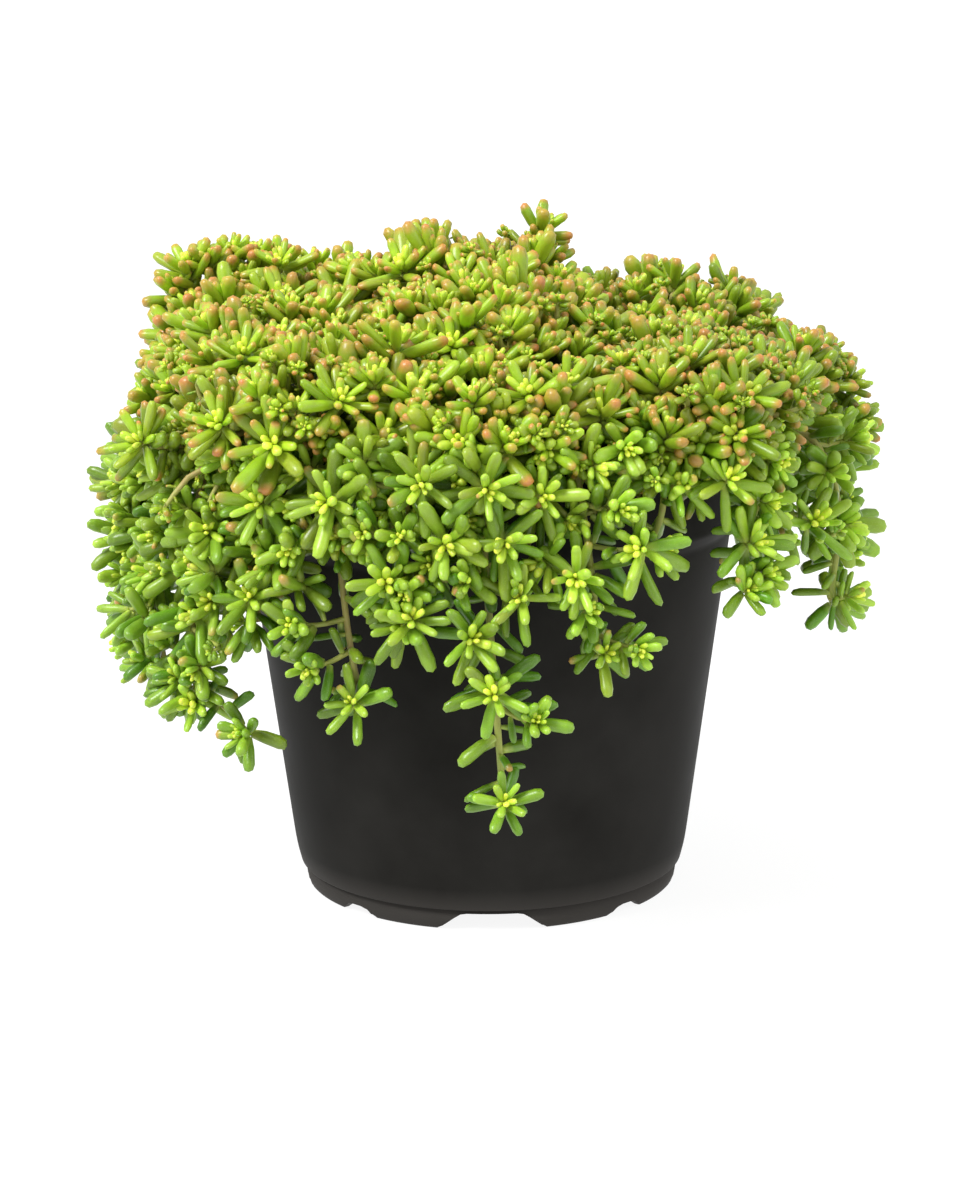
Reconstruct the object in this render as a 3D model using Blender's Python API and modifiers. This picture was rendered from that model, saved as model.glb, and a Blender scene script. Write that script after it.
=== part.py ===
"""Potted sedum: a black nursery pot filled with soil, a mounded crown of leafy tufts, and
leafy shoots that pass over the rim and hang outside the pot.

Metres, +Z up. The origin is the middle of the foot's resting plane, and the front is -Y.
"""
import math
import random

import bmesh
import bpy
from mathutils import Matrix, Vector
from mathutils.bvhtree import BVHTree

SEED = 7
GAP = 0.0003

# Pot, from the rim down
POT_STEPS = 36
POT_HEIGHT = 0.1385
LIP_RADIUS = 0.0824
LIP_DEPTH = 0.0078
LIP_EDGE = 0.0010
WALL = 0.0015
COLLAR_TOP_RADIUS = 0.0762
COLLAR_FOOT_RADIUS = 0.0745
COLLAR_FOOT_HEIGHT = 0.1118
STEP_RADIUS = 0.0709
STEP_HEIGHT = 0.1075
BODY_FOOT_RADIUS = 0.0581
BODY_FOOT_HEIGHT = 0.0120
BODY_EDGE_RADIUS = 0.0567
FOOT_HEIGHT = 0.0065
FOOT_RADIUS = 0.0558
FOOT_TOE_RADIUS = 0.0546
FOOT_WALL = 0.0024
FLOOR = 0.0020

# Notches in the foot ring, as half angles in degrees at the top and at the bottom
NOTCH_HEIGHT = 0.0052
WIDE_NOTCH = (8.7, 17.0)
NARROW_NOTCH = (4.0, 6.8)
WIDE_NOTCH_ANGLES = (0, 90, 180, 270)
NARROW_NOTCH_ANGLES = (45, 135, 225, 315)
DRAIN_RADIUS = 0.0045
DRAIN_RING = 0.0360
DRAIN_COUNT = 8

# Soil, with its surface a little below the rim
SOIL_STEPS = 24
SOIL_EDGE_HEIGHT = 0.1270
SOIL_TOP_HEIGHT = 0.1300
ROOT_DEPTH = 0.0080
HOLE_GAP = 0.0005
HOLE_SIDES = 5
HOLE_REACH = 0.0200

# Crown tufts: name, middle (x, y), height of the core's top, half width of the core.
# Each core is a smaller lump inside the leaves, which stand out of it.
TUFT_BASE = 0.1455
TUFT_WAIST = 0.1530
TUFT_FULLNESS = 0.75
TUFT_GAP = 0.0006
STALK_RADIUS = 0.0024
STALK_RING = 0.0560
TUFTS = (
    ("tuft_centre_back", (-0.006, 0.027), 0.181, 0.034),
    ("tuft_centre_front", (0.002, -0.020), 0.173, 0.034),
    ("tuft_left_back", (-0.058, 0.042), 0.170, 0.031),
    ("tuft_left", (-0.059, -0.006), 0.167, 0.026),
    ("tuft_left_front", (-0.044, -0.048), 0.163, 0.031),
    ("tuft_front", (0.004, -0.061), 0.158, 0.027),
    ("tuft_right_front", (0.049, -0.044), 0.160, 0.031),
    ("tuft_right", (0.065, 0.004), 0.157, 0.027),
    ("tuft_right_back", (0.047, 0.048), 0.165, 0.031),
    ("tuft_back", (-0.008, 0.064), 0.164, 0.028),
)

# Trailing shoots: name, azimuth in degrees (0 right, 270 front), distance of the hanging
# stem from the axis, height of the tip, drift of the tip in degrees, and how many times
# thicker the hanging stretch is, where it stands for a dense strand of short side shoots
STEM_RADIUS = 0.0013
ROOT_RING = 0.0665
RIM_CLEARANCE = 0.0032
PAST_LIP = 0.0865
TRAILS = (
    ("trail_right", 3, 0.102, 0.092, 4, 2.6),
    ("trail_right_back_low", 22, 0.098, 0.104, 3, 3.0),
    ("trail_right_back", 41, 0.096, 0.094, -3, 2.6),
    ("trail_back_right", 61, 0.094, 0.106, 2, 3.0),
    ("trail_back", 82, 0.093, 0.088, -4, 2.2),
    ("trail_back_left", 103, 0.093, 0.100, 3, 3.0),
    ("trail_left_back_high", 124, 0.097, 0.084, -2, 2.6),
    ("trail_left_back", 144, 0.098, 0.070, 3, 3.4),
    ("trail_left_rear", 162, 0.099, 0.086, 4, 3.4),
    ("trail_left", 179, 0.100, 0.072, 2, 3.4),
    ("trail_left_fore", 196, 0.098, 0.064, 2, 3.4),
    ("trail_left_low", 212, 0.098, 0.048, 3, 3.0),
    ("trail_left_front", 229, 0.092, 0.084, -3, 3.0),
    ("sprig_left_front", 240, 0.089, 0.064, 8, 1.4),
    ("trail_front_left", 256, 0.092, 0.090, 0, 3.0),
    ("trail_front", 268, 0.091, 0.050, 4, 1.6),
    ("trail_front_right", 285, 0.091, 0.086, 4, 2.4),
    ("sprig_front_right", 303, 0.090, 0.117, -4, 1.6),
    ("sprig_right_front", 322, 0.092, 0.122, 3, 1.6),
    ("trail_right_front", 343, 0.102, 0.090, 2, 2.6),
)

# Leaves: length, width and sides, larger than life so that few of them cover the plant
LEAF_BANDS = 3
LEAF_THINNING = 0.82
CROWN_LEAF = (0.0275, 0.0104, 3)
TRAIL_LEAF = (0.0225, 0.0086, 3)
LEAF_CLEARANCE = 0.0004
LEAF_TRIES = 7
LEAF_SINK = 0.0032
ROSETTE_SPACING = 0.0175
ROSETTE_RINGS = ((10, 1), (50, 5), (88, 9))
ROSETTE_LIFT = 0.3
INNER_WALL = 0.0015
ROSETTE_LEAVES = 4
ROSETTE_TILT = 60
TRAIL_LEAF_STEP = 0.0100
TRAIL_LEAF_START = 3.1
TRAIL_SAMPLES = 8
RIM_POINTS = 3
TRAIL_TIP_LEAVES = 3
GOLDEN_ANGLE = math.radians(137.5)

POT_BLACK = ("moulded_plastic_black", (0.014, 0.013, 0.012), 0.48)
SOIL_BROWN = ("potting_soil", (0.045, 0.028, 0.018), 0.95)
CROWN_GREEN = ("sedum_crown_leaf", (0.270, 0.420, 0.060), 0.42)
TRAIL_GREEN = ("sedum_trail_leaf", (0.180, 0.370, 0.050), 0.42)


def clear_scene():
    for item in list(bpy.data.objects):
        bpy.data.objects.remove(item, do_unlink=True)


def new_collection(name):
    group = bpy.data.collections.new(name)
    bpy.context.scene.collection.children.link(group)
    return group


def principled(name, colour, roughness):
    material = bpy.data.materials.new(name)
    material.use_nodes = True
    shader = material.node_tree.nodes["Principled BSDF"]
    shader.inputs["Base Color"].default_value = (*colour, 1.0)
    shader.inputs["Roughness"].default_value = roughness
    shader.inputs["Metallic"].default_value = 0.0
    return material


def mesh_object(name, mesh_data, group):
    item = bpy.data.objects.new(name, mesh_data)
    group.objects.link(item)
    return item


def bmesh_object(name, shape, group):
    """An object from a closed shape, with its faces turned to point outward."""
    data = bpy.data.meshes.new(name)
    bmesh.ops.recalc_face_normals(shape, faces=shape.faces)
    if shape.calc_volume(signed=True) < 0:
        bmesh.ops.reverse_faces(shape, faces=shape.faces)
    shape.to_mesh(data)
    shape.free()
    return mesh_object(name, data, group)


def turned(name, profile, steps, group):
    """A solid turned about Z from a profile of (radius, height), outer side top to bottom."""
    data = bpy.data.meshes.new(name)
    points = [(radius, 0.0, height) for radius, height in profile]
    edges = [(index, index + 1) for index in range(len(points) - 1)]
    data.from_pydata(points, edges, [])
    item = mesh_object(name, data, group)
    screw = item.modifiers.new("turn", "SCREW")
    screw.steps = steps
    screw.render_steps = steps
    screw.use_merge_vertices = True
    screw.merge_threshold = 0.00001
    return item


def settle(item):
    """Replace an object's mesh by its evaluated one, with its place in the mesh."""
    graph = bpy.context.evaluated_depsgraph_get()
    data = bpy.data.meshes.new_from_object(item.evaluated_get(graph))
    data.transform(item.matrix_world)
    item.modifiers.clear()
    item.data = data
    item.matrix_world = Matrix.Identity(4)
    return item


def boolean(item, group, operation, solver):
    """Apply one Boolean with a collection and remove the collection's objects."""
    modifier = item.modifiers.new("join", "BOOLEAN")
    modifier.operation = operation
    modifier.operand_type = "COLLECTION"
    modifier.collection = group
    modifier.solver = solver
    settle(item)
    for tool in list(group.objects):
        bpy.data.objects.remove(tool, do_unlink=True)
    bpy.data.collections.remove(group)


def keep_largest_body(item):
    """Drop loose scraps and fill sealed hollows: only the largest closed body stays."""
    shape = bmesh.new()
    shape.from_mesh(item.data)
    unseen = set(shape.verts)
    bodies = []
    while unseen:
        front = [unseen.pop()]
        body = list(front)
        while front:
            vertex = front.pop()
            for edge in vertex.link_edges:
                other = edge.other_vert(vertex)
                if other in unseen:
                    unseen.remove(other)
                    front.append(other)
                    body.append(other)
        bodies.append(body)
    bodies.sort(key=len)
    for body in bodies[:-1]:
        bmesh.ops.delete(shape, geom=body, context="VERTS")
    shape.to_mesh(item.data)
    shape.free()


def tree_of(item):
    """A search tree of an object's mesh, in world space."""
    points = [item.matrix_world @ vertex.co for vertex in item.data.vertices]
    faces = [tuple(face.vertices) for face in item.data.polygons]
    return BVHTree.FromPolygons(points, faces)


def polar(radius, azimuth, height):
    return Vector((radius * math.cos(azimuth), radius * math.sin(azimuth), height))


# Pot

def pot_profile():
    inner_foot = BODY_FOOT_RADIUS - WALL
    lip_inner = LIP_RADIUS - WALL
    top = POT_HEIGHT
    floor_top = FOOT_HEIGHT + FLOOR
    return (
        (0.0, floor_top),
        (BODY_EDGE_RADIUS - 2 * WALL, floor_top),
        (inner_foot, BODY_FOOT_HEIGHT + FLOOR),
        (STEP_RADIUS - WALL, STEP_HEIGHT),
        (COLLAR_FOOT_RADIUS - WALL, COLLAR_FOOT_HEIGHT + WALL),
        (COLLAR_TOP_RADIUS - WALL, top - WALL),
        (COLLAR_TOP_RADIUS, top),
        (LIP_RADIUS - LIP_EDGE, top),
        (LIP_RADIUS, top - LIP_EDGE),
        (LIP_RADIUS, top - LIP_DEPTH),
        (lip_inner, top - LIP_DEPTH),
        (lip_inner, top - 2 * WALL),
        (COLLAR_TOP_RADIUS, top - 2 * WALL),
        (COLLAR_FOOT_RADIUS, COLLAR_FOOT_HEIGHT),
        (STEP_RADIUS, STEP_HEIGHT),
        (BODY_FOOT_RADIUS, BODY_FOOT_HEIGHT),
        (BODY_EDGE_RADIUS, FOOT_HEIGHT),
        (FOOT_RADIUS, FOOT_HEIGHT - GAP),
        (FOOT_TOE_RADIUS, 0.0),
        (FOOT_TOE_RADIUS - FOOT_WALL, 0.0),
        (FOOT_RADIUS - FOOT_WALL, FOOT_HEIGHT),
        (0.0, FOOT_HEIGHT),
    )


def notch_cutter(half_angles, azimuth, group):
    """A block with sloped sides that cuts the foot ring at one azimuth."""
    shape = bmesh.new()
    bmesh.ops.create_cube(shape, size=2.0)
    for vertex in shape.verts:
        is_low = vertex.co.z < 0
        half_angle = math.radians(half_angles[1] if is_low else half_angles[0])
        radius = FOOT_TOE_RADIUS + vertex.co.x * 2.5 * FOOT_WALL
        side = math.copysign(FOOT_TOE_RADIUS * math.tan(half_angle), vertex.co.y)
        height = -GAP if is_low else NOTCH_HEIGHT
        vertex.co = (radius, side, height)
    cutter = bmesh_object("notch_cutter", shape, group)
    cutter.matrix_world = Matrix.Rotation(azimuth, 4, "Z")


def round_cutter(radius, sides, place, depth, group):
    """A round cutter whose middle is at the given place."""
    shape = bmesh.new()
    bmesh.ops.create_cone(
        shape, cap_ends=True, segments=sides, radius1=radius, radius2=radius, depth=depth,
    )
    cutter = bmesh_object("round_cutter", shape, group)
    cutter.location = place
    bpy.context.view_layer.update()


def make_pot(group):
    pot = settle(turned("pot", pot_profile(), POT_STEPS, group))
    cutters = new_collection("pot_cutters")
    for angle in WIDE_NOTCH_ANGLES:
        notch_cutter(WIDE_NOTCH, math.radians(angle), cutters)
    for angle in NARROW_NOTCH_ANGLES:
        notch_cutter(NARROW_NOTCH, math.radians(angle), cutters)
    middle = FOOT_HEIGHT + FLOOR / 2
    for index in range(DRAIN_COUNT):
        azimuth = math.tau * (index + 0.5) / DRAIN_COUNT
        round_cutter(DRAIN_RADIUS, 8, polar(DRAIN_RING, azimuth, middle), 3 * FLOOR, cutters)
    round_cutter(DRAIN_RADIUS, 8, Vector((0, 0, middle)), 3 * FLOOR, cutters)
    bpy.context.view_layer.update()
    boolean(pot, cutters, "DIFFERENCE", "EXACT")
    pot.data.shade_smooth()
    pot.data.set_sharp_from_angle(angle=math.radians(30))
    pot.data.materials.append(principled(*POT_BLACK))
    return pot


# Soil

def make_soil(holes, group):
    """The soil, with a plain hole for each stem: (place of the hole's foot, stem radius)."""
    flat_side_depth = COLLAR_TOP_RADIUS * (1 - math.cos(math.pi / POT_STEPS))
    floor_top = FOOT_HEIGHT + FLOOR + GAP
    wall = WALL + flat_side_depth + GAP
    collar_part = (SOIL_EDGE_HEIGHT - COLLAR_FOOT_HEIGHT - WALL) / (
        POT_HEIGHT - COLLAR_FOOT_HEIGHT - 2 * WALL
    )
    edge_radius = COLLAR_FOOT_RADIUS + collar_part * (COLLAR_TOP_RADIUS - COLLAR_FOOT_RADIUS)
    profile = (
        (0.0, SOIL_TOP_HEIGHT),
        (0.6 * COLLAR_TOP_RADIUS, SOIL_TOP_HEIGHT - 0.0005),
        (edge_radius - wall, SOIL_EDGE_HEIGHT),
        (COLLAR_FOOT_RADIUS - wall, COLLAR_FOOT_HEIGHT + WALL),
        (STEP_RADIUS - wall, STEP_HEIGHT),
        (BODY_FOOT_RADIUS - wall, BODY_FOOT_HEIGHT + FLOOR),
        (BODY_EDGE_RADIUS - 2 * WALL - GAP, floor_top),
        (0.0, floor_top),
    )
    soil = settle(turned("soil", profile, SOIL_STEPS, group))
    cutters = new_collection("soil_cutters")
    for foot, radius in holes:
        place = Vector((foot.x, foot.y, foot.z + HOLE_REACH - HOLE_GAP))
        hole_radius = (radius + HOLE_GAP) / math.cos(math.pi / HOLE_SIDES)
        round_cutter(hole_radius, HOLE_SIDES, place, 2 * HOLE_REACH, cutters)
    bpy.context.view_layer.update()
    boolean(soil, cutters, "DIFFERENCE", "EXACT")
    soil.data.materials.append(principled(*SOIL_BROWN))
    return soil


# Stems and cores

def smooth_point(points, step):
    """The point at a running index on a smooth curve through the given points."""
    index = min(int(step), len(points) - 2)
    part = step - index
    before = points[max(index - 1, 0)]
    start = points[index]
    end = points[index + 1]
    after = points[min(index + 2, len(points) - 1)]
    slope_in = (end - before) / 2
    slope_out = (after - start) / 2
    return (
        start * (2 * part ** 3 - 3 * part ** 2 + 1)
        + slope_in * (part ** 3 - 2 * part ** 2 + part)
        + end * (3 * part ** 2 - 2 * part ** 3)
        + slope_out * (part ** 3 - part ** 2)
    )


def stem_object(name, points, radius, group, fullness=1.0):
    """A closed stem along the points: a bevelled curve made a mesh, with its caps welded.

    Its middle stretch is thicker by the given fullness, and both ends keep the radius.
    """
    curve = bpy.data.curves.new(name, "CURVE")
    curve.dimensions = "3D"
    curve.bevel_depth = radius
    curve.bevel_resolution = 0
    curve.use_fill_caps = True
    spline = curve.splines.new("POLY")
    spline.points.add(len(points) - 1)
    last = len(points) - 1
    for index, (slot, point) in enumerate(zip(spline.points, points)):
        slot.co = (*point, 1.0)
        if index > RIM_POINTS:
            hanging = (index - RIM_POINTS) / (last - RIM_POINTS + 1)
            slot.radius = 1.0 + (fullness - 1.0) * math.sqrt(math.sin(math.pi * hanging))
    source = bpy.data.objects.new(name, curve)
    group.objects.link(source)
    bpy.context.view_layer.update()
    graph = bpy.context.evaluated_depsgraph_get()
    data = bpy.data.meshes.new_from_object(source.evaluated_get(graph))
    bpy.data.objects.remove(source, do_unlink=True)
    shape = bmesh.new()
    shape.from_mesh(data)
    bmesh.ops.remove_doubles(shape, verts=shape.verts, dist=0.00001)
    return bmesh_object(name, shape, group)


def trail_points(azimuth, reach, tip_height, drift):
    """A trailing stem: up out of the soil, over the rim, down outside and out to the tip."""
    over_rim = POT_HEIGHT + STEM_RADIUS + RIM_CLEARANCE / 2
    drop = over_rim - tip_height
    guide = (
        (ROOT_RING, 0.00, SOIL_EDGE_HEIGHT - ROOT_DEPTH),
        (ROOT_RING, 0.00, SOIL_EDGE_HEIGHT + 0.003),
        (COLLAR_FOOT_RADIUS, 0.02, over_rim),
        (PAST_LIP, 0.06, over_rim - 0.0008),
        (0.4 * PAST_LIP + 0.6 * reach, 0.14, over_rim - 0.10 * drop),
        (reach, 0.35, over_rim - 0.32 * drop),
        (reach + 0.0015, 0.65, over_rim - 0.64 * drop),
        (reach - 0.0010, 1.00, tip_height),
    )
    return [polar(radius, azimuth + part * drift, height) for radius, part, height in guide]


def tuft_core(name, middle, top, half_width, group):
    """A rounded core, cut flat where it meets the cores of the neighbouring tufts."""
    shape = bmesh.new()
    bmesh.ops.create_uvsphere(shape, u_segments=10, v_segments=6, radius=1.0)
    for vertex in shape.verts:
        unit = vertex.co.copy()
        rise = math.copysign(abs(unit.z) ** TUFT_FULLNESS, unit.z)
        height = TUFT_WAIST + rise * (top - TUFT_WAIST)
        vertex.co = (middle[0] + unit.x * half_width, middle[1] + unit.y * half_width, height)
    planes = [(Vector((0, 0, TUFT_BASE)), Vector((0, 0, -1)))]
    for other_name, other_middle, _, other_width in TUFTS:
        if other_name == name:
            continue
        across = Vector((other_middle[0] - middle[0], other_middle[1] - middle[1], 0.0))
        distance = across.length
        if distance > half_width + other_width:
            continue
        share = (distance ** 2 + half_width ** 2 - other_width ** 2) / (2 * distance)
        across.normalize()
        place = Vector((*middle, 0.0)) + across * (share - TUFT_GAP / 2)
        planes.append((place, across))
    for place, normal in planes:
        cut = bmesh.ops.bisect_plane(
            shape, geom=shape.verts[:] + shape.edges[:] + shape.faces[:], dist=0.000001,
            plane_co=place, plane_no=normal, clear_outer=True,
        )
        edges = [item for item in cut["geom_cut"] if isinstance(item, bmesh.types.BMEdge)]
        bmesh.ops.contextual_create(shape, geom=edges)
    bmesh.ops.remove_doubles(shape, verts=shape.verts, dist=0.00005)
    return bmesh_object(name, shape, group)


# Leaves

def resized(size, scale):
    return (size[0] * scale, size[1] * scale, size[2])


def leaf_object(size, root, direction, group, swelling=0.0):
    """A plump club-shaped leaf, drawn out from a sphere; swelling widens it all round."""
    length, width, sides = size
    shape = bmesh.new()
    bmesh.ops.create_uvsphere(
        shape, u_segments=sides, v_segments=LEAF_BANDS, radius=1.0,
    )
    for vertex in shape.verts:
        along = vertex.co.z
        club = 0.5 * width * (1.08 + 0.30 * along) + swelling
        vertex.co.x *= club
        vertex.co.y *= club * LEAF_THINNING
        vertex.co.z = 0.5 * length * (1 + along) + swelling * along
    turn = direction.to_track_quat("Z", "Y").to_matrix().to_4x4()
    shape.transform(Matrix.Translation(root) @ turn)
    return bmesh_object("leaf", shape, group)


def is_clear(size, root, direction, others, scratch):
    """Whether a leaf, swollen by its clearance, crosses none of the other nodes."""
    probe = leaf_object(size, root, direction, scratch, LEAF_CLEARANCE)
    tree = tree_of(probe)
    bpy.data.objects.remove(probe, do_unlink=True)
    return not any(tree.overlap(other) for other in others)


def bent_clear(size, root, direction, away, others, scratch, rng):
    """The direction and size of a leaf bent clear of the other nodes, or None."""
    for attempt in range(LEAF_TRIES):
        part = attempt / LEAF_TRIES
        wobble = Vector([rng.uniform(-0.35, 0.35) * part for _ in range(3)])
        bent = (direction * (1 - part) + away * part + wobble).normalized()
        scaled = resized(size, 1 - 0.25 * part)
        if is_clear(scaled, root, bent, others, scratch):
            return bent, scaled
    return None


def rosette_directions(axis, count, tilt, turn):
    """Directions of leaves spread round an axis at one tilt."""
    side = axis.orthogonal().normalized()
    for index in range(count):
        spin = Matrix.Rotation(turn + math.tau * index / count, 3, axis)
        lean = tilt if index % 2 == 0 else 0.80 * tilt
        yield (axis * math.cos(lean) + (spin @ side) * math.sin(lean)).normalized()


def tuft_rosettes(middle, core_tree, taken, rng):
    """Rosette places and axes over the free surface of a core, in rings round its top."""
    centre = Vector((*middle, TUFT_WAIST))
    rosettes = []
    for fall, count in ROSETTE_RINGS:
        start = rng.uniform(0, math.tau)
        for index in range(count):
            azimuth = start + math.tau * index / count
            polar_angle = math.radians(fall + rng.uniform(-5, 5))
            ray = polar(math.sin(polar_angle), azimuth, math.cos(polar_angle))
            hit, normal, _, _ = core_tree.ray_cast(centre + ray * 0.2, -ray)
            if hit is None or hit.z < TUFT_BASE + 0.002 or is_inner_wall(hit, middle):
                continue
            if any((hit - other).length < ROSETTE_SPACING for other in taken):
                continue
            taken.append(hit)
            lift = Vector((0, 0, ROSETTE_LIFT * math.cos(polar_angle)))
            rosettes.append((hit, (normal + lift).normalized()))
    return rosettes


def is_inner_wall(place, middle):
    """Whether a place on a core lies on its flat cut beside a neighbouring core."""
    own = next(spec for spec in TUFTS if spec[1] == middle)
    flat = Vector((place.x, place.y))
    own_power = (flat - Vector(middle)).length_squared - own[3] ** 2
    for spec in TUFTS:
        if spec is own:
            continue
        power = (flat - Vector(spec[1])).length_squared - spec[3] ** 2
        if power - own_power < 2 * INNER_WALL * (Vector(spec[1]) - Vector(middle)).length:
            return True
    return False


def tuft_leaves(spec, core_tree, others, taken, scratch, group, rng):
    trees = []
    for place, axis in tuft_rosettes(spec[1], core_tree, taken, rng):
        root = place - axis * LEAF_SINK
        turn = rng.uniform(0, math.tau)
        tilt = math.radians(ROSETTE_TILT)
        directions = [axis, *rosette_directions(axis, ROSETTE_LEAVES, tilt, turn)]
        for index, direction in enumerate(directions):
            scale = rng.uniform(0.86, 1.08) * (0.8 if index == 0 else 1.0)
            size = resized(CROWN_LEAF, scale)
            start = root + direction * 0.0008
            found = bent_clear(size, start, direction, axis, others, scratch, rng)
            if found is None:
                continue
            leaf = leaf_object(found[1], start, found[0], group)
            trees.append(tree_of(leaf))
    return trees


def trail_leaves(points, others, scratch, group, rng):
    """Leaves in a spiral down the hanging stretch of a stem, and a rosette at its tip."""
    last = len(points) - 1
    trees = []
    step = TRAIL_LEAF_START
    count = 0
    while step < last:
        place = smooth_point(points, step)
        ahead = smooth_point(points, min(step + 0.1, last))
        along = (ahead - place).normalized()
        outward = Vector((place.x, place.y, 0)).normalized()
        side = along.orthogonal().normalized()
        spin = Matrix.Rotation(count * GOLDEN_ANGLE, 3, along)
        direction = ((spin @ side) + along * 0.55).normalized()
        scale = rng.uniform(0.85, 1.08)
        size = resized(TRAIL_LEAF, scale)
        away = (outward + along).normalized()
        found = bent_clear(size, place, direction, away, others, scratch, rng)
        if found is not None:
            leaf = leaf_object(found[1], place, found[0], group)
            trees.append(tree_of(leaf))
        count += 1
        reach = (smooth_point(points, min(step + 0.2, last)) - place).length
        step += 0.2 * TRAIL_LEAF_STEP / max(reach, 0.0001)
    tip = points[-1]
    axis = (points[-1] - points[-2]).normalized()
    root = tip - axis * 0.0015
    tilt = math.radians(ROSETTE_TILT)
    turn = rng.uniform(0, math.tau)
    for direction in [axis, *rosette_directions(axis, TRAIL_TIP_LEAVES, tilt, turn)]:
        scale = rng.uniform(0.8, 1.0)
        size = resized(TRAIL_LEAF, scale)
        found = bent_clear(size, root, direction, axis, others, scratch, rng)
        if found is None:
            continue
        leaf = leaf_object(found[1], root, found[0], group)
        trees.append(tree_of(leaf))
    return trees


def stalk_foot(middle):
    """Where a tuft's stalk stands in the soil: under the core, away from the rim."""
    place = Vector((*middle, 0.0))
    if place.length > STALK_RING:
        place = place.normalized() * STALK_RING
    place.z = SOIL_EDGE_HEIGHT - ROOT_DEPTH
    return place


def make_foliage(pot, group):
    """The tufts and the trailing shoots, and the holes that their stems need in the soil."""
    rng = random.Random(SEED)
    scratch = new_collection("probes")
    crown_green = principled(*CROWN_GREEN)
    trail_green = principled(*TRAIL_GREEN)
    holes = []
    skeletons = []
    for name, middle, top, half_width in TUFTS:
        core = tuft_core(name, middle, top, half_width, group)
        foot = stalk_foot(middle)
        head = Vector((foot.x, foot.y, TUFT_BASE + 0.004))
        stalk = stem_object(name + "_stalk", [foot, head], STALK_RADIUS, scratch)
        holes.append((foot, STALK_RADIUS))
        skeletons.append((core, stalk, None))
    for name, azimuth, reach, tip_height, drift, fullness in TRAILS:
        points = trail_points(math.radians(azimuth), reach, tip_height, math.radians(drift))
        last = len(points) - 1
        part = (last - 1) / TRAIL_SAMPLES
        samples = [smooth_point(points, 1 + index * part) for index in range(TRAIL_SAMPLES + 1)]
        stem = stem_object(name, [points[0], *samples], STEM_RADIUS, group, fullness)
        holes.append((points[0], STEM_RADIUS))
        skeletons.append((stem, None, points))
    bpy.context.view_layer.update()
    soil = make_soil(holes, group)
    trees = [[tree_of(item) for item in pair[:2] if item is not None] for pair in skeletons]
    fixed = [tree_of(pot), tree_of(soil)]
    taken = []
    for index, (base, stalk, points) in enumerate(skeletons):
        others = list(fixed)
        for place, group_trees in enumerate(trees):
            if place != index:
                others.extend(group_trees)
        repeats = new_collection(base.name + "_repeats")
        if points is None:
            scratch.objects.unlink(stalk)
            repeats.objects.link(stalk)
            spec = TUFTS[index]
            grown = tuft_leaves(spec, trees[index][0], others, taken, scratch, repeats, rng)
            base.data.materials.append(crown_green)
        else:
            grown = trail_leaves(points, others, scratch, repeats, rng)
            base.data.materials.append(trail_green)
        trees[index].extend(grown)
        bpy.context.view_layer.update()
        boolean(base, repeats, "UNION", "MANIFOLD")
        keep_largest_body(base)
    bpy.data.collections.remove(scratch)


def main():
    clear_scene()
    group = new_collection("potted_sedum")
    pot = make_pot(group)
    make_foliage(pot, group)


main()
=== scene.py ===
import itertools
import math
import random
from collections import namedtuple

import bmesh
import bpy
from mathutils import Matrix, Vector, noise


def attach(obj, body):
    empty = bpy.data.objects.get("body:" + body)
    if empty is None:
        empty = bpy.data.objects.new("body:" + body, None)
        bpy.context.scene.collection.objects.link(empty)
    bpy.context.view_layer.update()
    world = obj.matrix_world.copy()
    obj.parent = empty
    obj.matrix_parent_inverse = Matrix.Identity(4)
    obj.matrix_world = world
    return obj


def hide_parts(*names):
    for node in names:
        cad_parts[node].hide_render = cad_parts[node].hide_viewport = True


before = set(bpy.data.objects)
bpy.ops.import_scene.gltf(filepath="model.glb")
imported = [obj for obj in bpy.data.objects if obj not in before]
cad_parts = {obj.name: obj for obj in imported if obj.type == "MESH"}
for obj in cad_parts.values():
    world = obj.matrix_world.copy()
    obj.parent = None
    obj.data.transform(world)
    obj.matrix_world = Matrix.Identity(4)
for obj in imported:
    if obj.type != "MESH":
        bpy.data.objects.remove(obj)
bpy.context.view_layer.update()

SEED = 11
UP = Vector((0, 0, 1))
GOLDEN_ANGLE = math.radians(137.5)

# Camera, fitted to the pot's rim, step and foot in the photograph

PHOTO_SIZE = (959, 1200)
FOCAL_PIXELS = 3394
SENSOR_HEIGHT = 36
CAMERA_REACH = 1.0
CAMERA_PITCH = math.radians(13.66)
CAMERA_ROLL = math.radians(-0.50)
CAMERA_AIM = Vector((-0.0028, 0.0, 0.0837))

# Lights: name, strength, width in degrees and the way that they shine

SUNS = (("key_light", 3.5, 22, (0.58, 0.38, -0.80)), ("fill_light", 0.95, 60, (-0.78, 0.42, -0.38)))

# Studio floor: radius and height of each ring

FLOOR_STEPS = 96
FLOOR_SWEEP = ((3.0, 0.0), (5.0, 0.04), (6.5, 0.16), (8.0, 0.42), (9.0, 0.72), (9.6, 1.0))

# Pot, in metres; a notch is the degrees from its middle to where its top ends and to where its side ends

POT_HEIGHT = 0.1385
LIP_RADIUS = 0.0824
LIP_DEPTH = 0.0078
WALL = 0.0015
COLLAR_TOP_RADIUS = 0.0762
COLLAR_FOOT_RADIUS = 0.0745
COLLAR_FOOT_HEIGHT = 0.1118
STEP_RADIUS = 0.0709
STEP_HEIGHT = 0.1075
BODY_FOOT_RADIUS = 0.0581
BODY_FOOT_HEIGHT = 0.0120
BODY_EDGE_RADIUS = 0.0567
FOOT_HEIGHT = 0.0065
FOOT_RADIUS = 0.0558
FOOT_TOE_RADIUS = 0.0546
FOOT_WALL = 0.0024
FLOOR_THICKNESS = 0.0020
NOTCH_HEIGHT = 0.0052
WIDE_NOTCH = (8.7, 17.0)
NARROW_NOTCH = (3.0, 7.6)
NARROW_SHARE = 0.55
POT_STEPS = 192
POT_WOBBLE = 0.00012
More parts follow.
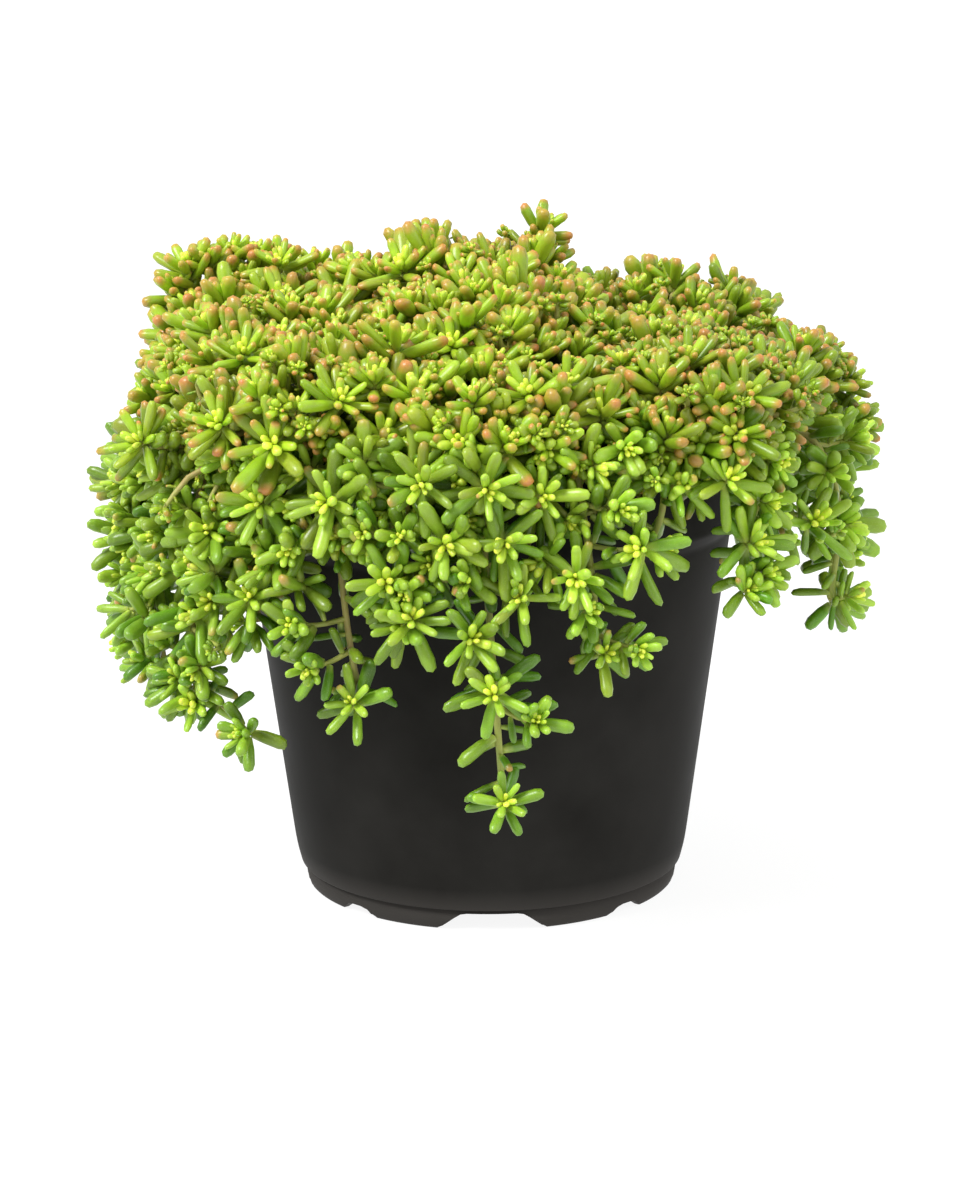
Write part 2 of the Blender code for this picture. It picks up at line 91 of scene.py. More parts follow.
POT_SHARP_ANGLE = math.radians(40)

# Soil: its top, then radius and height of the rings down the pot's wall

SOIL_EDGE_HEIGHT = 0.1270
SOIL_TOP_HEIGHT = 0.1300
SOIL_RADIUS = 0.0738
SOIL_RINGS = 44
SOIL_STEPS = 120
SOIL_SIDE = ((0.0718, 0.1110), (0.0690, 0.1060), (0.0560, 0.0140), (0.0535, 0.0092))
CRUMB_RADIUS = 0.0011
CRUMBS_PER_SQUARE_METRE = 38000.0

# Room round the pot: radius past which a point is outside the wall, within which it is inside it, and of the
# free space over the soil

OUTSIDE_RADIUS = 0.0755
INSIDE_RADIUS = 0.0730
FREE_RADIUS = 0.0745

# Crown: the hearts of the shoots stand on domes a little out from each tuft's core, above and below its waist.
# Inner shoots and the thatch are a share of the dome or the core.

TUFT_WAIST = 0.150
HEART_OUT = 0.0085
HEART_UP = 0.0065
DOME_DROP = 0.020
INNER_WIDTH = 0.86
INNER_HEIGHT = 0.80
THATCH_WIDTH = 0.84
THATCH_HEIGHT = 0.86
THATCH_DROP = 0.008
Tuft = namedtuple("Tuft", "name middle top half")
TUFTS = [Tuft(*row) for row in (
    ("tuft_centre_back", (-0.006, 0.027), 0.181, 0.034),
    ("tuft_centre_front", (0.002, -0.020), 0.173, 0.034),
    ("tuft_left_back", (-0.058, 0.042), 0.170, 0.031),
    ("tuft_left", (-0.059, -0.006), 0.167, 0.026),
    ("tuft_left_front", (-0.044, -0.048), 0.163, 0.031),
    ("tuft_front", (0.004, -0.061), 0.158, 0.027),
    ("tuft_right_front", (0.049, -0.044), 0.160, 0.031),
    ("tuft_right", (0.065, 0.004), 0.157, 0.027),
    ("tuft_right_back", (0.047, 0.048), 0.165, 0.031),
    ("tuft_back", (-0.008, 0.064), 0.164, 0.028),
)]

# Trails rise from a ring in the soil, pass over the rim and hang outside it. Each stem is followed in even
# spots: those from the first outside one on carry side shoots, and those from the first bare one on carry
# single leaves. A side shoot that would have to rise to its heart counts as longer by the penalty.

ROOT_RING = 0.0665
PAST_LIP = 0.0865
OVER_RIM = 0.1414
TRAIL_SPOTS = 60
FIRST_OUTSIDE = 18
FIRST_BARE = 24
RISE_PENALTY = 0.05
INNER_RING = 0.066
TIP_CLEARANCE = 0.007
WILD_TRIES = 400

# Azimuth (0 right, 270 front), reach, tip height, drift, share of the path that the stem takes, number of side
# shoots that the seeded rule adds, and the height below which none of them stands

Trail = namedtuple("Trail", "name azimuth reach tip drift last wild lowest")
TRAILS = [Trail(*row) for row in (
    ("trail_right", 3, 0.102, 0.092, 4, 1.0, 11, 0.0),
    ("trail_right_back_low", 22, 0.098, 0.104, 3, 1.0, 15, 0.0),
    ("trail_right_back", 41, 0.096, 0.094, -3, 1.0, 21, 0.0),
    ("trail_back_right", 61, 0.094, 0.106, 2, 1.0, 19, 0.0),
    ("trail_back", 82, 0.093, 0.088, -4, 1.0, 23, 0.0),
    ("trail_back_left", 103, 0.093, 0.100, 3, 1.0, 20, 0.0),
    ("trail_left_back_high", 124, 0.097, 0.084, -2, 1.0, 22, 0.0),
    ("trail_left_back", 144, 0.098, 0.070, 3, 0.93, 19, 0.085),
    ("trail_left_rear", 162, 0.099, 0.086, 4, 1.0, 17, 0.0),
    ("trail_left", 179, 0.100, 0.072, 2, 0.93, 17, 0.088),
    ("trail_left_fore", 196, 0.098, 0.064, 2, 0.94, 17, 0.087),
    ("trail_left_low", 212, 0.098, 0.048, 3, 0.88, 14, 0.078),
    ("trail_left_front", 229, 0.092, 0.084, -3, 0.92, 13, 0.100),
    ("sprig_left_front", 240, 0.089, 0.064, 8, 0.93, 8, 0.118),
    ("trail_front_left", 256, 0.092, 0.090, 0, 0.92, 10, 0.112),
    ("trail_front", 268, 0.091, 0.050, 4, 1.0, 9, 0.110),
    ("trail_front_right", 285, 0.091, 0.086, 4, 0.96, 6, 0.122),
    ("sprig_front_right", 303, 0.090, 0.117, -4, 1.0, 5, 0.128),
    ("sprig_right_front", 322, 0.092, 0.122, 3, 1.0, 4, 0.130),
    ("trail_right_front", 343, 0.102, 0.090, 2, 1.0, 6, 0.100),
)]

# Places of the photograph where white or bare pot shows through, which the seeded side shoots leave free:
# left, top, right and bottom pixel

OPENINGS = (
    (222, 588, 268, 720), (300, 572, 372, 660), (775, 430, 828, 480), (784, 520, 822, 600), (640, 500, 742, 640),
)

# Rosettes whose hearts show in the photograph: pixel across, pixel down and size in percent

CROWN_STARS = (
    (416, 395, 132), (272, 444, 115), (461, 444, 100), (527, 393, 95), (566, 384, 95), (623, 343, 100),
    (283, 299, 100), (243, 354, 100), (342, 302, 95), (452, 345, 100), (688, 359, 100), (745, 395, 100),
    (603, 413, 95), (549, 448, 95), (383, 436, 90), (219, 423, 95), (632, 458, 95), (736, 434, 100), (140, 442, 95),
    (340, 400, 90),
)
CROWN_CLUBS = (
    (186, 266, 105), (208, 258, 100), (232, 250, 95), (176, 288, 95), (255, 253, 100), (278, 256, 90),
    (318, 262, 95), (345, 264, 95), (358, 270, 95), (379, 272, 85), (458, 276, 100), (513, 270, 95), (474, 291, 90),
    (503, 300, 90), (544, 225, 95), (548, 253, 90), (560, 278, 90), (595, 288, 95), (637, 288, 95), (698, 302, 100),
    (759, 307, 95), (209, 325, 100), (192, 304, 90), (382, 327, 95), (211, 354, 90), (278, 336, 90), (334, 336, 95),
    (427, 341, 90), (495, 360, 95), (709, 325, 90), (660, 378, 100), (713, 395, 90), (791, 379, 100),
    (806, 381, 90), (820, 407, 100), (850, 381, 95), (859, 418, 95), (147, 396, 95), (172, 387, 90), (586, 376, 85),
    (358, 461, 95), (655, 466, 90),
)
TRAIL_STARS = (
    (326, 503, 100), (208, 530, 100), (446, 546, 100), (638, 549, 105), (210, 601, 100), (412, 618, 100),
    (473, 640, 100), (493, 694, 95), (192, 704, 110), (386, 583, 100), (488, 491, 95), (504, 544, 95),
    (258, 503, 95), (249, 597, 90), (519, 597, 90), (575, 579, 90), (730, 478, 95), (816, 521, 95), (755, 542, 95),
    (421, 486, 90),
)
TRAIL_CLUBS = (
    (156, 535, 95), (362, 534, 90), (400, 537, 85), (621, 510, 90), (287, 550, 95), (192, 559, 90), (165, 567, 90),
    (121, 575, 100), (128, 607, 100), (171, 623, 95), (290, 625, 95), (404, 596, 85), (164, 643, 95),
    (124, 641, 95), (167, 681, 90), (242, 734, 85), (307, 671, 95), (589, 610, 85), (537, 721, 80), (770, 503, 90),
    (776, 463, 90), (766, 574, 85), (749, 588, 80), (781, 463, 85), (834, 471, 95), (846, 597, 80), (639, 650, 75),
)
BEAD_BUDS = (
    (235, 462), (212, 496), (305, 428), (174, 434), (167, 505), (571, 473), (600, 471), (541, 309), (527, 360),
    (660, 290), (190, 370),
)

# How far a ray from the camera is followed to the crown, and the round surface on which trail hearts stand

RAY_NEAR = 0.85
RAY_FAR = 1.20
RAY_STEP = 0.0006
CURTAIN_RADIUS = 0.1035
CURTAIN_LIMIT = 0.107

# Rootlets over the rim: azimuth (0 right, 270 front) and how many creep out there

ROOTLETS = ((290, 4), (299, 3), (322, 5), (334, 3), (20, 3), (75, 3), (140, 3), (205, 2))

# Leaves of a rosette: count, length of stem that carries them, longest leaf, width over length,
# widest spread in degrees, and leaves on the bare stem below it

Habit = namedtuple("Habit", "count run longest plump spread below")
HABITS = {
    "star": Habit(18, 0.0085, 0.0131, 0.26, 86, 4),
    "club": Habit(17, 0.0110, 0.0108, 0.36, 66, 5),
    "tall": Habit(13, 0.0120, 0.0134, 0.32, 38, 4),
    "bud": Habit(12, 0.0042, 0.0034, 0.62, 82, 0),
    "tip": Habit(15, 0.0085, 0.0116, 0.29, 86, 3),
}

# Seeded shoots: their kinds, with the share of each in the crown and on the trails, the least distance between
# hearts, and how many stand in the valleys and gaps. Shoots that end above the high mark may come from the
# crown. Leaves longer than the big one have more faces. The room taken is kept in cells, and crowding is
# measured as a share of both half widths.

WILD_KINDS = ("club", "tall", "star", "bud")
CROWN_MIX = (0.34, 0.32, 0.16, 0.18)
TRAIL_MIX = (0.34, 0.16, 0.30, 0.20)
CROWN_SPACING = 0.0098
INNER_SPACING = 0.0078
BEAD_SPACING = 0.0050
TRAIL_SPACING = 0.0092
INNER_SHOOTS = 100
BEADS = 110
BIG_LEAF = 0.0056
LEAF_CELL = 0.006
LEAF_CLEARANCE = 0.0002
HEART_CLEARANCE = 0.006
UNCROWDED = 0.80
TOO_CROWDED = 0.36
HIGH_SHOOT = 0.118

# Single leaves: the step between those below a rosette, the age below which a leaf is plumper, and the ranges
# from which lengths, tilts in degrees, widths over length, thickness over width and upward curves are drawn.
# Lengths are shares of the shoot's longest leaf, and metres on a bare trail.

STEM_LEAF_STEP = 0.0030
YOUNG_LEAF = 0.40
ROSETTE_LENGTH_SPREAD = 0.13
ROSETTE_LENGTH = (0.7, 1.22)
STEM_LEAF_LENGTH = (0.74, 1.18)
STEM_LEAF_TILT = (56, 104)
STEM_LEAF_WIDTH = (0.30, 0.42)
BARE_LEAF_STEP = (0.0026, 0.0060)
BARE_LEAF_LENGTH = (0.0072, 0.0138)
BARE_LEAF_TILT = (26, 76)
BARE_LEAF_WIDTH = (0.27, 0.36)
THICKNESS = (0.82, 0.98)
LEAF_CURVE = (0.02, 0.16)
BARE_LEAF_CURVE = (0.02, 0.14)
LEAF_SAG = 0.05


def linear(code):
    """An sRGB hex colour as linear red, green, blue and alpha."""
    channels = [int(code[place:place + 2], 16) / 255 for place in (1, 3, 5)]
    return [c / 12.92 if c <= 0.04045 else ((c + 0.055) / 1.055) ** 2.4 for c in channels] + [1.0]


def put(tree, kind, feeds=(), **settings):
    """Adds a node. Settings are its properties. Feeds are its inputs, in order or by name or number: a value,
    a socket to link, or a node whose first output is linked."""
    made = tree.nodes.new(kind)
    for name, value in settings.items():
        setattr(made, name, value)
    for key, value in feeds.items() if isinstance(feeds, dict) else enumerate(feeds):
        source = value.outputs[0] if isinstance(value, bpy.types.Node) else value
        if isinstance(source, bpy.types.NodeSocket):
            tree.links.new(source, made.inputs[key])
        else:
            made.inputs[key].default_value = source
    return made


def clamp(value, low=0.0, high=1.0):
    return min(max(value, low), high)


def polar(radius, azimuth, height):
    return Vector((radius * math.cos(azimuth), radius * math.sin(azimuth), height))


# Studio


def camera_axes():
    right = Vector((1, 0, 0))
    ahead = Vector((0, math.cos(CAMERA_PITCH), -math.sin(CAMERA_PITCH)))
    above = right.cross(ahead)
    across = math.cos(CAMERA_ROLL) * right + math.sin(CAMERA_ROLL) * above
    upward = -math.sin(CAMERA_ROLL) * right + math.cos(CAMERA_ROLL) * above
    return across, upward, ahead


ACROSS, UPWARD, AHEAD = camera_axes()
EYE = CAMERA_AIM - CAMERA_REACH * AHEAD


def pixel_ray(pixel_x, pixel_y):
    """The unit direction from the camera through a pixel of the photograph."""
    side = pixel_x - PHOTO_SIZE[0] / 2
    rise = PHOTO_SIZE[1] / 2 - pixel_y
    return (AHEAD * FOCAL_PIXELS + ACROSS * side + UPWARD * rise).normalized()


def is_open(place):
    """Whether the camera sees a point within one of the openings."""
    offset = place - EYE
    depth = offset.dot(AHEAD)
    pixel_x = PHOTO_SIZE[0] / 2 + FOCAL_PIXELS * offset.dot(ACROSS) / depth
    pixel_y = PHOTO_SIZE[1] / 2 - FOCAL_PIXELS * offset.dot(UPWARD) / depth
    return any(left < pixel_x < right and top < pixel_y < bottom for left, top, right, bottom in OPENINGS)


def make_camera():
    data = bpy.data.cameras.new("camera")
    data.sensor_fit = "VERTICAL"
    data.sensor_height = SENSOR_HEIGHT
    data.lens = FOCAL_PIXELS / PHOTO_SIZE[1] * SENSOR_HEIGHT
    data.clip_start = 0.01
    camera = bpy.data.objects.new("camera", data)
    turn = Matrix((ACROSS, UPWARD, -AHEAD)).transposed().to_4x4()
    camera.matrix_world = Matrix.Translation(EYE) @ turn
    bpy.context.scene.collection.objects.link(camera)
    bpy.context.scene.camera = camera


def make_light():
    """A white tent that is brighter above, behind and to the left, a broad key light and a weak fill light."""
    scene = bpy.context.scene
    scene.view_settings.view_transform = "Standard"
    scene.view_settings.look = "None"
    world = bpy.data.worlds.new("soft_tent")
    scene.world = world
    world.use_nodes = True
    tree = world.node_tree
    tree.nodes.clear()
    where = put(tree, "ShaderNodeTexCoord").outputs["Generated"]
    parts = put(tree, "ShaderNodeSeparateXYZ", (where,)).outputs
    height = put(tree, "ShaderNodeMapRange", (parts["Z"], -0.2, 0.9, 0.42, 1.0))
    front = put(tree, "ShaderNodeMapRange", (parts["Y"], -1.0, -0.2, 0.55, 1.0))
    side = put(tree, "ShaderNodeMapRange", (parts["X"], -0.8, 0.8, 0.98, 0.84))
    fronted = put(tree, "ShaderNodeMath", (height, front), operation="MULTIPLY")
    level = put(tree, "ShaderNodeMath", (fronted, side), operation="MULTIPLY")
    glow = put(tree, "ShaderNodeBackground", {"Color": linear("#ffffff"), "Strength": level})
    put(tree, "ShaderNodeOutputWorld", {"Surface": glow})
    for name, strength, spread, aim in SUNS:
        data = bpy.data.lights.new(name, "SUN")
        data.energy = strength
        data.angle = math.radians(spread)
        lamp = bpy.data.objects.new(name, data)
        lamp.rotation_euler = Vector(aim).to_track_quat("-Z", "Y").to_euler()
        scene.collection.objects.link(lamp)


def make_floor():
    """A white sweep, flat round the pot and rising a little far from it."""
    shape = bmesh.new()
    rings = [ring(shape, radius, height, FLOOR_STEPS) for radius, height in FLOOR_SWEEP]
    shape.faces.new(rings[0])
    join_rings(shape, rings)
    floor = mesh_piece("studio_floor", shape, painted_board())


# Finishes


def new_finish(name):
    finish = bpy.data.materials.new(name)
    finish.use_nodes = True
    finish.node_tree.nodes.clear()
    return finish, finish.node_tree


def close_finish(tree, skin):
    shader = put(tree, "ShaderNodeBsdfPrincipled", skin)
    put(tree, "ShaderNodeOutputMaterial", {"Surface": shader})


def set_steps(made, steps):
    """Gives a Color Ramp node its places and sRGB colours, in rising order."""
    ramp = made.color_ramp
    first, *between, last = steps
    for element, (place, code) in zip(ramp.elements, (first, last)):
        element.position = place
        element.color = linear(code)
    for place, code in between:
        ramp.elements.new(place).color = linear(code)
    return made


def mottled(name, scale, detail, steps, skin, bump=None):
    """A finish whose colour follows a noise through the steps. Bump is the strength and depth of its relief."""
    finish, tree = new_finish(name)
    where = put(tree, "ShaderNodeTexCoord").outputs["Object"]
    patch = put(tree, "ShaderNodeTexNoise", {"Vector": where, "Scale": scale, "Detail": detail})
    feeds = {"Base Color": set_steps(put(tree, "ShaderNodeValToRGB", (patch,)), steps), **skin}
    if bump:
        feeds["Normal"] = put(tree, "ShaderNodeBump", {"Strength": bump[0], "Distance": bump[1], "Height": patch})
    close_finish(tree, feeds)
    return finish


def painted_board():
    """Matt white painted board: an even pale ground with hardly any gloss."""
    finish, tree = new_finish("painted_board")
    close_finish(tree, {
        "Base Color": linear("#707070"), "Roughness": 0.9, "Specular IOR Level": 0.1,
        "Emission Color": linear("#ffffff"), "Emission Strength": 0.90,
    })
    return finish


def thatch_painted_shade():
    """Inner thatch of old leaves and stems, dull dark olive that never catches light: its darkness is partly their
    own colour and partly painted shade, so gaps read as depth.
    """
    return mottled("inner_thatch_painted_shade", 260.0, 4.0, ((0.35, "#161d09"), (0.70, "#3f5716")),
                   {"Roughness": 0.85, "Specular IOR Level": 0.2}, bump=(0.8, 0.0012))


def potting_soil():
    """Peat potting soil: dark brown, moist and crumbly, in crumbs of 1.5 to 4 mm, with no gloss."""
    return mottled("peat_potting_soil", 420.0, 6.0, ((0.34, "#1b120c"), (0.72, "#5a4232")),
                   {"Roughness": 0.9}, bump=(0.9, 0.0008))


def bark_crumb():
    """Composted bark crumbs: reddish brown, matt, with fibres of 1 mm, a shade lighter than the peat."""
    return mottled("composted_bark", 900.0, 4.0, ((0.35, "#2c1d13"), (0.68, "#735438")), {"Roughness": 0.85})


def moulded_plastic():
    """Injection moulded black polypropylene: satin, faintly uneven from the mould, with a fine mould grain."""
    finish, tree = new_finish("moulded_polypropylene")
    where = put(tree, "ShaderNodeTexCoord").outputs["Object"]
    # Slow unevenness of the moulded wall, about 25 mm
    cloud = put(tree, "ShaderNodeTexNoise", {"Vector": where, "Scale": 40.0, "Detail": 3.0})
    # Mould grain, 0.5 mm, drawn coarser than life so that it shows
    grain = put(tree, "ShaderNodeTexNoise", {"Vector": where, "Scale": 1900.0, "Detail": 2.0})
    black = set_steps(put(tree, "ShaderNodeValToRGB", (cloud,)), ((0.3, "#1f1e1c"), (0.75, "#2a2927")))
    # Lighter warm grey over the lowest centimetre, fading out above it
    height = put(tree, "ShaderNodeSeparateXYZ", (where,)).outputs["Z"]
    low = put(tree, "ShaderNodeMapRange", (height, 0.006, 0.013, 0.5, 0.0))
    lightened_bottom = put(tree, "ShaderNodeMix", {0: low, 6: black, 7: linear("#4a4744")}, data_type="RGBA")
    close_finish(tree, {
        "Base Color": lightened_bottom.outputs[2],
        "Roughness": put(tree, "ShaderNodeMapRange", (cloud, 0.3, 0.7, 0.46, 0.58)),
        "Normal": put(tree, "ShaderNodeBump", {"Strength": 0.10, "Distance": 0.0001, "Height": grain}),
        "IOR": 1.34,
        "Specular IOR Level": 0.06,
    })
    return finish


def sedum_bark():
    """Sedum stem: green and juicy near the leaves, tan and papery where it is old, in streaks of 1 to 2 mm."""
    finish, tree = new_finish("sedum_stem_skin")
    where = put(tree, "ShaderNodeTexCoord").outputs["Object"]
    wood = put(tree, "ShaderNodeAttribute", attribute_name="wood").outputs["Fac"]
    patch = put(tree, "ShaderNodeTexNoise", {"Vector": where, "Scale": 600.0, "Detail": 4.0})
    shift = put(tree, "ShaderNodeMath", (patch, 0.5, -0.25), operation="MULTIPLY_ADD")
    ripe = put(tree, "ShaderNodeMath", (wood, shift), operation="ADD")
    steps = ((0.0, "#a2b34e"), (0.35, "#a59f55"), (0.65, "#a5845a"), (1.0, "#7d5a41"))
    close_finish(tree, {
        "Base Color": set_steps(put(tree, "ShaderNodeValToRGB", (ripe,)), steps),
        "Roughness": 0.55,
        "Normal": put(tree, "ShaderNodeBump", {"Strength": 0.4, "Distance": 0.0003, "Height": patch}),
        "Subsurface Weight": 0.15,
        "Subsurface Radius": (1.0, 0.6, 0.3),
        "Subsurface Scale": 0.0008,
    })
    return finish


def sedum_leaf(name, fresh, mature, deep, coral):
    """Living sedum leaf: a waxy skin over juicy, slightly see-through flesh. The heart of a rosette is
    yellow-green, older leaves are deeper, the foot of a leaf is pale and sunlit tips turn coral."""
    finish, tree = new_finish(name)
    where = put(tree, "ShaderNodeTexCoord").outputs["Object"]
    along, age, tone, warm, blush = (
        put(tree, "ShaderNodeAttribute", attribute_name=label).outputs["Fac"]
        for label in ("along", "age", "tone", "warm", "blush")
    )
    steps = ((0.05, "#dae650"), (0.17, "#bcd640"), (0.34, fresh), (0.68, mature), (1.0, deep))
    ripening = set_steps(put(tree, "ShaderNodeValToRGB", (age,)), steps)
    # Mottling of the flesh, patches about 3 mm across
    mottle = put(tree, "ShaderNodeTexNoise", {"Vector": where, "Scale": 330.0, "Detail": 3.0})
    lighten = put(tree, "ShaderNodeMapRange", (mottle, 0.3, 0.7, 0.88, 1.12))
    # Each leaf's tone scales its value, and carries painted light and painted shade set per leaf
    tinted = put(tree, "ShaderNodeMath", (lighten, tone), operation="MULTIPLY")
    colour = put(tree, "ShaderNodeHueSaturation", {"Value": tinted, "Color": ripening}).outputs[0]
    # Leaves in the sun are a warmer olive, each to its own degree
    grown_up = put(tree, "ShaderNodeMapRange", (age, 0.15, 0.6, 0.0, 0.34))
    sun = put(tree, "ShaderNodeMath", (warm, grown_up), operation="MULTIPLY")
    # The foot of the leaf is pale, fading over its first third
    foot = put(tree, "ShaderNodeMapRange", (along, 0.0, 0.30, 0.66, 0.0))
    # The tip is flushed with coral, its edge broken by the mottling
    edge = put(tree, "ShaderNodeMath", (mottle, 0.25, -0.12), operation="MULTIPLY_ADD")
    reached = put(tree, "ShaderNodeMath", (along, edge), operation="ADD")
    tip = put(tree, "ShaderNodeMapRange", (reached, 0.77, 1.0, 0.0, 1.0))
    flush = put(tree, "ShaderNodeMath", (tip, blush), operation="MULTIPLY")
    # Pale dots stand in the skin, about 0.35 mm apart
    dots = put(tree, "ShaderNodeTexVoronoi", {"Vector": where, "Scale": 2200.0})
    speck = put(tree, "ShaderNodeMapRange", (dots, 0.12, 0.32, 0.16, 0.0))
    for share, code in ((sun, "#c4b03c"), (foot, "#dbe37e"), (flush, coral), (speck, "#d3e39a")):
        colour = put(tree, "ShaderNodeMix", {0: share, 6: colour, 7: linear(code)}, data_type="RGBA").outputs[2]
    grain = put(tree, "ShaderNodeTexNoise", {"Vector": where, "Scale": 1400.0, "Detail": 2.0})
    close_finish(tree, {
        "Base Color": colour,
        "Roughness": put(tree, "ShaderNodeMapRange", (mottle, 0.3, 0.7, 0.30, 0.44)),
        "Normal": put(tree, "ShaderNodeBump", {"Strength": 0.16, "Distance": 0.0002, "Height": grain}),
        "Subsurface Weight": 0.38,
        "Subsurface Radius": (0.75, 1.0, 0.10),
        "Subsurface Scale": 0.0018,
        "Coat Weight": 0.18,
        "Coat Roughness": 0.27,
        "IOR": 1.45,
    })
    return finish


# Meshes


def mesh_piece(name, shape, finish):
    """A named object at the origin from a bmesh, smooth all over."""
    data = bpy.data.meshes.new(name)
    shape.to_mesh(data)
    shape.free()
    for face in data.polygons:
        face.use_smooth = True
    data.materials.append(finish)
    item = bpy.data.objects.new(name, data)
    bpy.context.scene.collection.objects.link(item)
    return item


def ring(shape, radius, height, steps):
    return [shape.verts.new(polar(radius, math.tau * step / steps, height)) for step in range(steps)]


def join_rings(shape, rings):
    """Faces from each ring of vertices to the next; a ring of one vertex is a pole."""
    for inner, outer in zip(rings, rings[1:]):
        count = max(len(inner), len(outer))
        for step in range(count):
            corners = [side[turn % len(side)] for side, turn in
                       ((inner, step), (outer, step), (outer, (step + 1) % count), (inner, (step + 1) % count))]
            shape.faces.new(list(dict.fromkeys(corners)))


def smooth_point(points, step):
    """A point of the smooth curve through the points, step running from 0 to 1 along them."""
    place = clamp(step) * (len(points) - 1)
    index = min(int(place), len(points) - 2)
    t = place - index
    before = points[max(index - 1, 0)]
    start, end = points[index], points[index + 1]
    after = points[min(index + 2, len(points) - 1)]
    lead = (end - before) / 2
    trail = (after - start) / 2
    return (
        (2 * t ** 3 - 3 * t ** 2 + 1) * start
        + (t ** 3 - 2 * t ** 2 + t) * lead
        + (3 * t ** 2 - 2 * t ** 3) * end
        + (t ** 3 - t ** 2) * trail
    )


# Pot


def rounded(corners, steps=4):
    """The closed outline through the corners, each rounded over the length that goes with it."""
    made = []
    for index, (corner, reach) in enumerate(corners):
        point = Vector(corner)
        before = Vector(corners[index - 1][0])
        after = Vector(corners[(index + 1) % len(corners)][0])
        if reach == 0:
            made.append(point)
            continue
        start = point + (before - point).normalized() * min(reach, (before - point).length * 0.45)
        end = point + (after - point).normalized() * min(reach, (after - point).length * 0.45)
        for step in range(steps + 1):
            t = step / steps
            made.append((1 - t) ** 2 * start + 2 * t * (1 - t) * point + t ** 2 * end)
    return made


def notch_rise(azimuth):
    """How far the foot ring is cut up at an azimuth, with rounded lobes between wide and narrow notches."""
    quarter = math.degrees(azimuth) % 90
    wide = min(quarter, 90 - quarter)
    narrow = abs(quarter - 45)
    rise = 0.0
    for distance, (top, foot), depth in ((wide, WIDE_NOTCH, 1.0), (narrow, NARROW_NOTCH, NARROW_SHARE)):
        t = clamp((foot - distance) / (foot - top))
        eased = t * t * (3 - 2 * t)
        rise = max(rise, NOTCH_HEIGHT * depth * (0.65 * t + 0.35 * eased))
    return rise


def make_pot():
    top = POT_HEIGHT
    lip_inner = LIP_RADIUS - WALL
    floor_top = FOOT_HEIGHT + FLOOR_THICKNESS
    # Each corner of the wall with the length over which it is rounded, from the axis inside to the axis below
    profile = rounded((
        ((0.0, floor_top), 0), ((BODY_EDGE_RADIUS - 2 * WALL, floor_top), 0.003),
        ((BODY_FOOT_RADIUS - WALL, BODY_FOOT_HEIGHT + FLOOR_THICKNESS), 0.002),
        ((STEP_RADIUS - WALL, STEP_HEIGHT), 0.002), ((COLLAR_FOOT_RADIUS - WALL, COLLAR_FOOT_HEIGHT + WALL), 0.002),
        ((COLLAR_TOP_RADIUS - WALL, top - WALL), 0.0012), ((COLLAR_TOP_RADIUS, top), 0.0010),
        ((LIP_RADIUS, top), 0.0016), ((LIP_RADIUS + 0.0001, top - LIP_DEPTH), 0.0006),
        ((lip_inner, top - LIP_DEPTH), 0.0005), ((lip_inner, top - 2 * WALL), 0.001),
        ((COLLAR_TOP_RADIUS, top - 2 * WALL), 0.0008), ((COLLAR_FOOT_RADIUS, COLLAR_FOOT_HEIGHT), 0.0012),
        ((STEP_RADIUS, STEP_HEIGHT), 0.0012), ((BODY_FOOT_RADIUS, BODY_FOOT_HEIGHT), 0.0040),
        ((BODY_EDGE_RADIUS, FOOT_HEIGHT), 0.0006), ((FOOT_RADIUS - 0.0012, FOOT_HEIGHT - 0.0003), 0.0004),
        ((FOOT_RADIUS, FOOT_HEIGHT * 0.5), 0.0016), ((FOOT_TOE_RADIUS, 0.0), 0.0012),
        ((FOOT_TOE_RADIUS - FOOT_WALL, 0.0), 0.0005),
        ((FOOT_RADIUS - FOOT_WALL, FOOT_HEIGHT), 0.0003), ((0.0, FOOT_HEIGHT), 0),
    ))
    shape = bmesh.new()
    rings = []
    for radius, level in profile:
        if radius < 1e-6:
            rings.append([shape.verts.new((0, 0, level))])
            continue
        rings.append([])
        for step in range(POT_STEPS):
            azimuth = math.tau * step / POT_STEPS
            height = level
            # The foot ring and the groove over it are moulded with gaps between the lobes
            if level < FOOT_HEIGHT - 0.0001 and radius < FOOT_RADIUS + 0.0002:
                height = max(level, min(notch_rise(azimuth), FOOT_HEIGHT - 0.0002) + 0.02 * level)
            # Moulded walls are never quite round
            wobble = POT_WOBBLE * math.sin(3 * azimuth + 0.7) * clamp((height - 0.02) / 0.06)
            rings[-1].append(shape.verts.new(polar(radius + wobble, azimuth, height)))
    join_rings(shape, rings[::-1])
    bmesh.ops.recalc_face_normals(shape, faces=shape.faces)
    if shape.calc_volume(signed=True) < 0:
        bmesh.ops.reverse_faces(shape, faces=shape.faces)
    pot = mesh_piece("nursery_pot", shape, moulded_plastic())
    pot.data.set_sharp_from_angle(angle=POT_SHARP_ANGLE)
    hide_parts("pot")
    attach(pot, "root")


# Soil


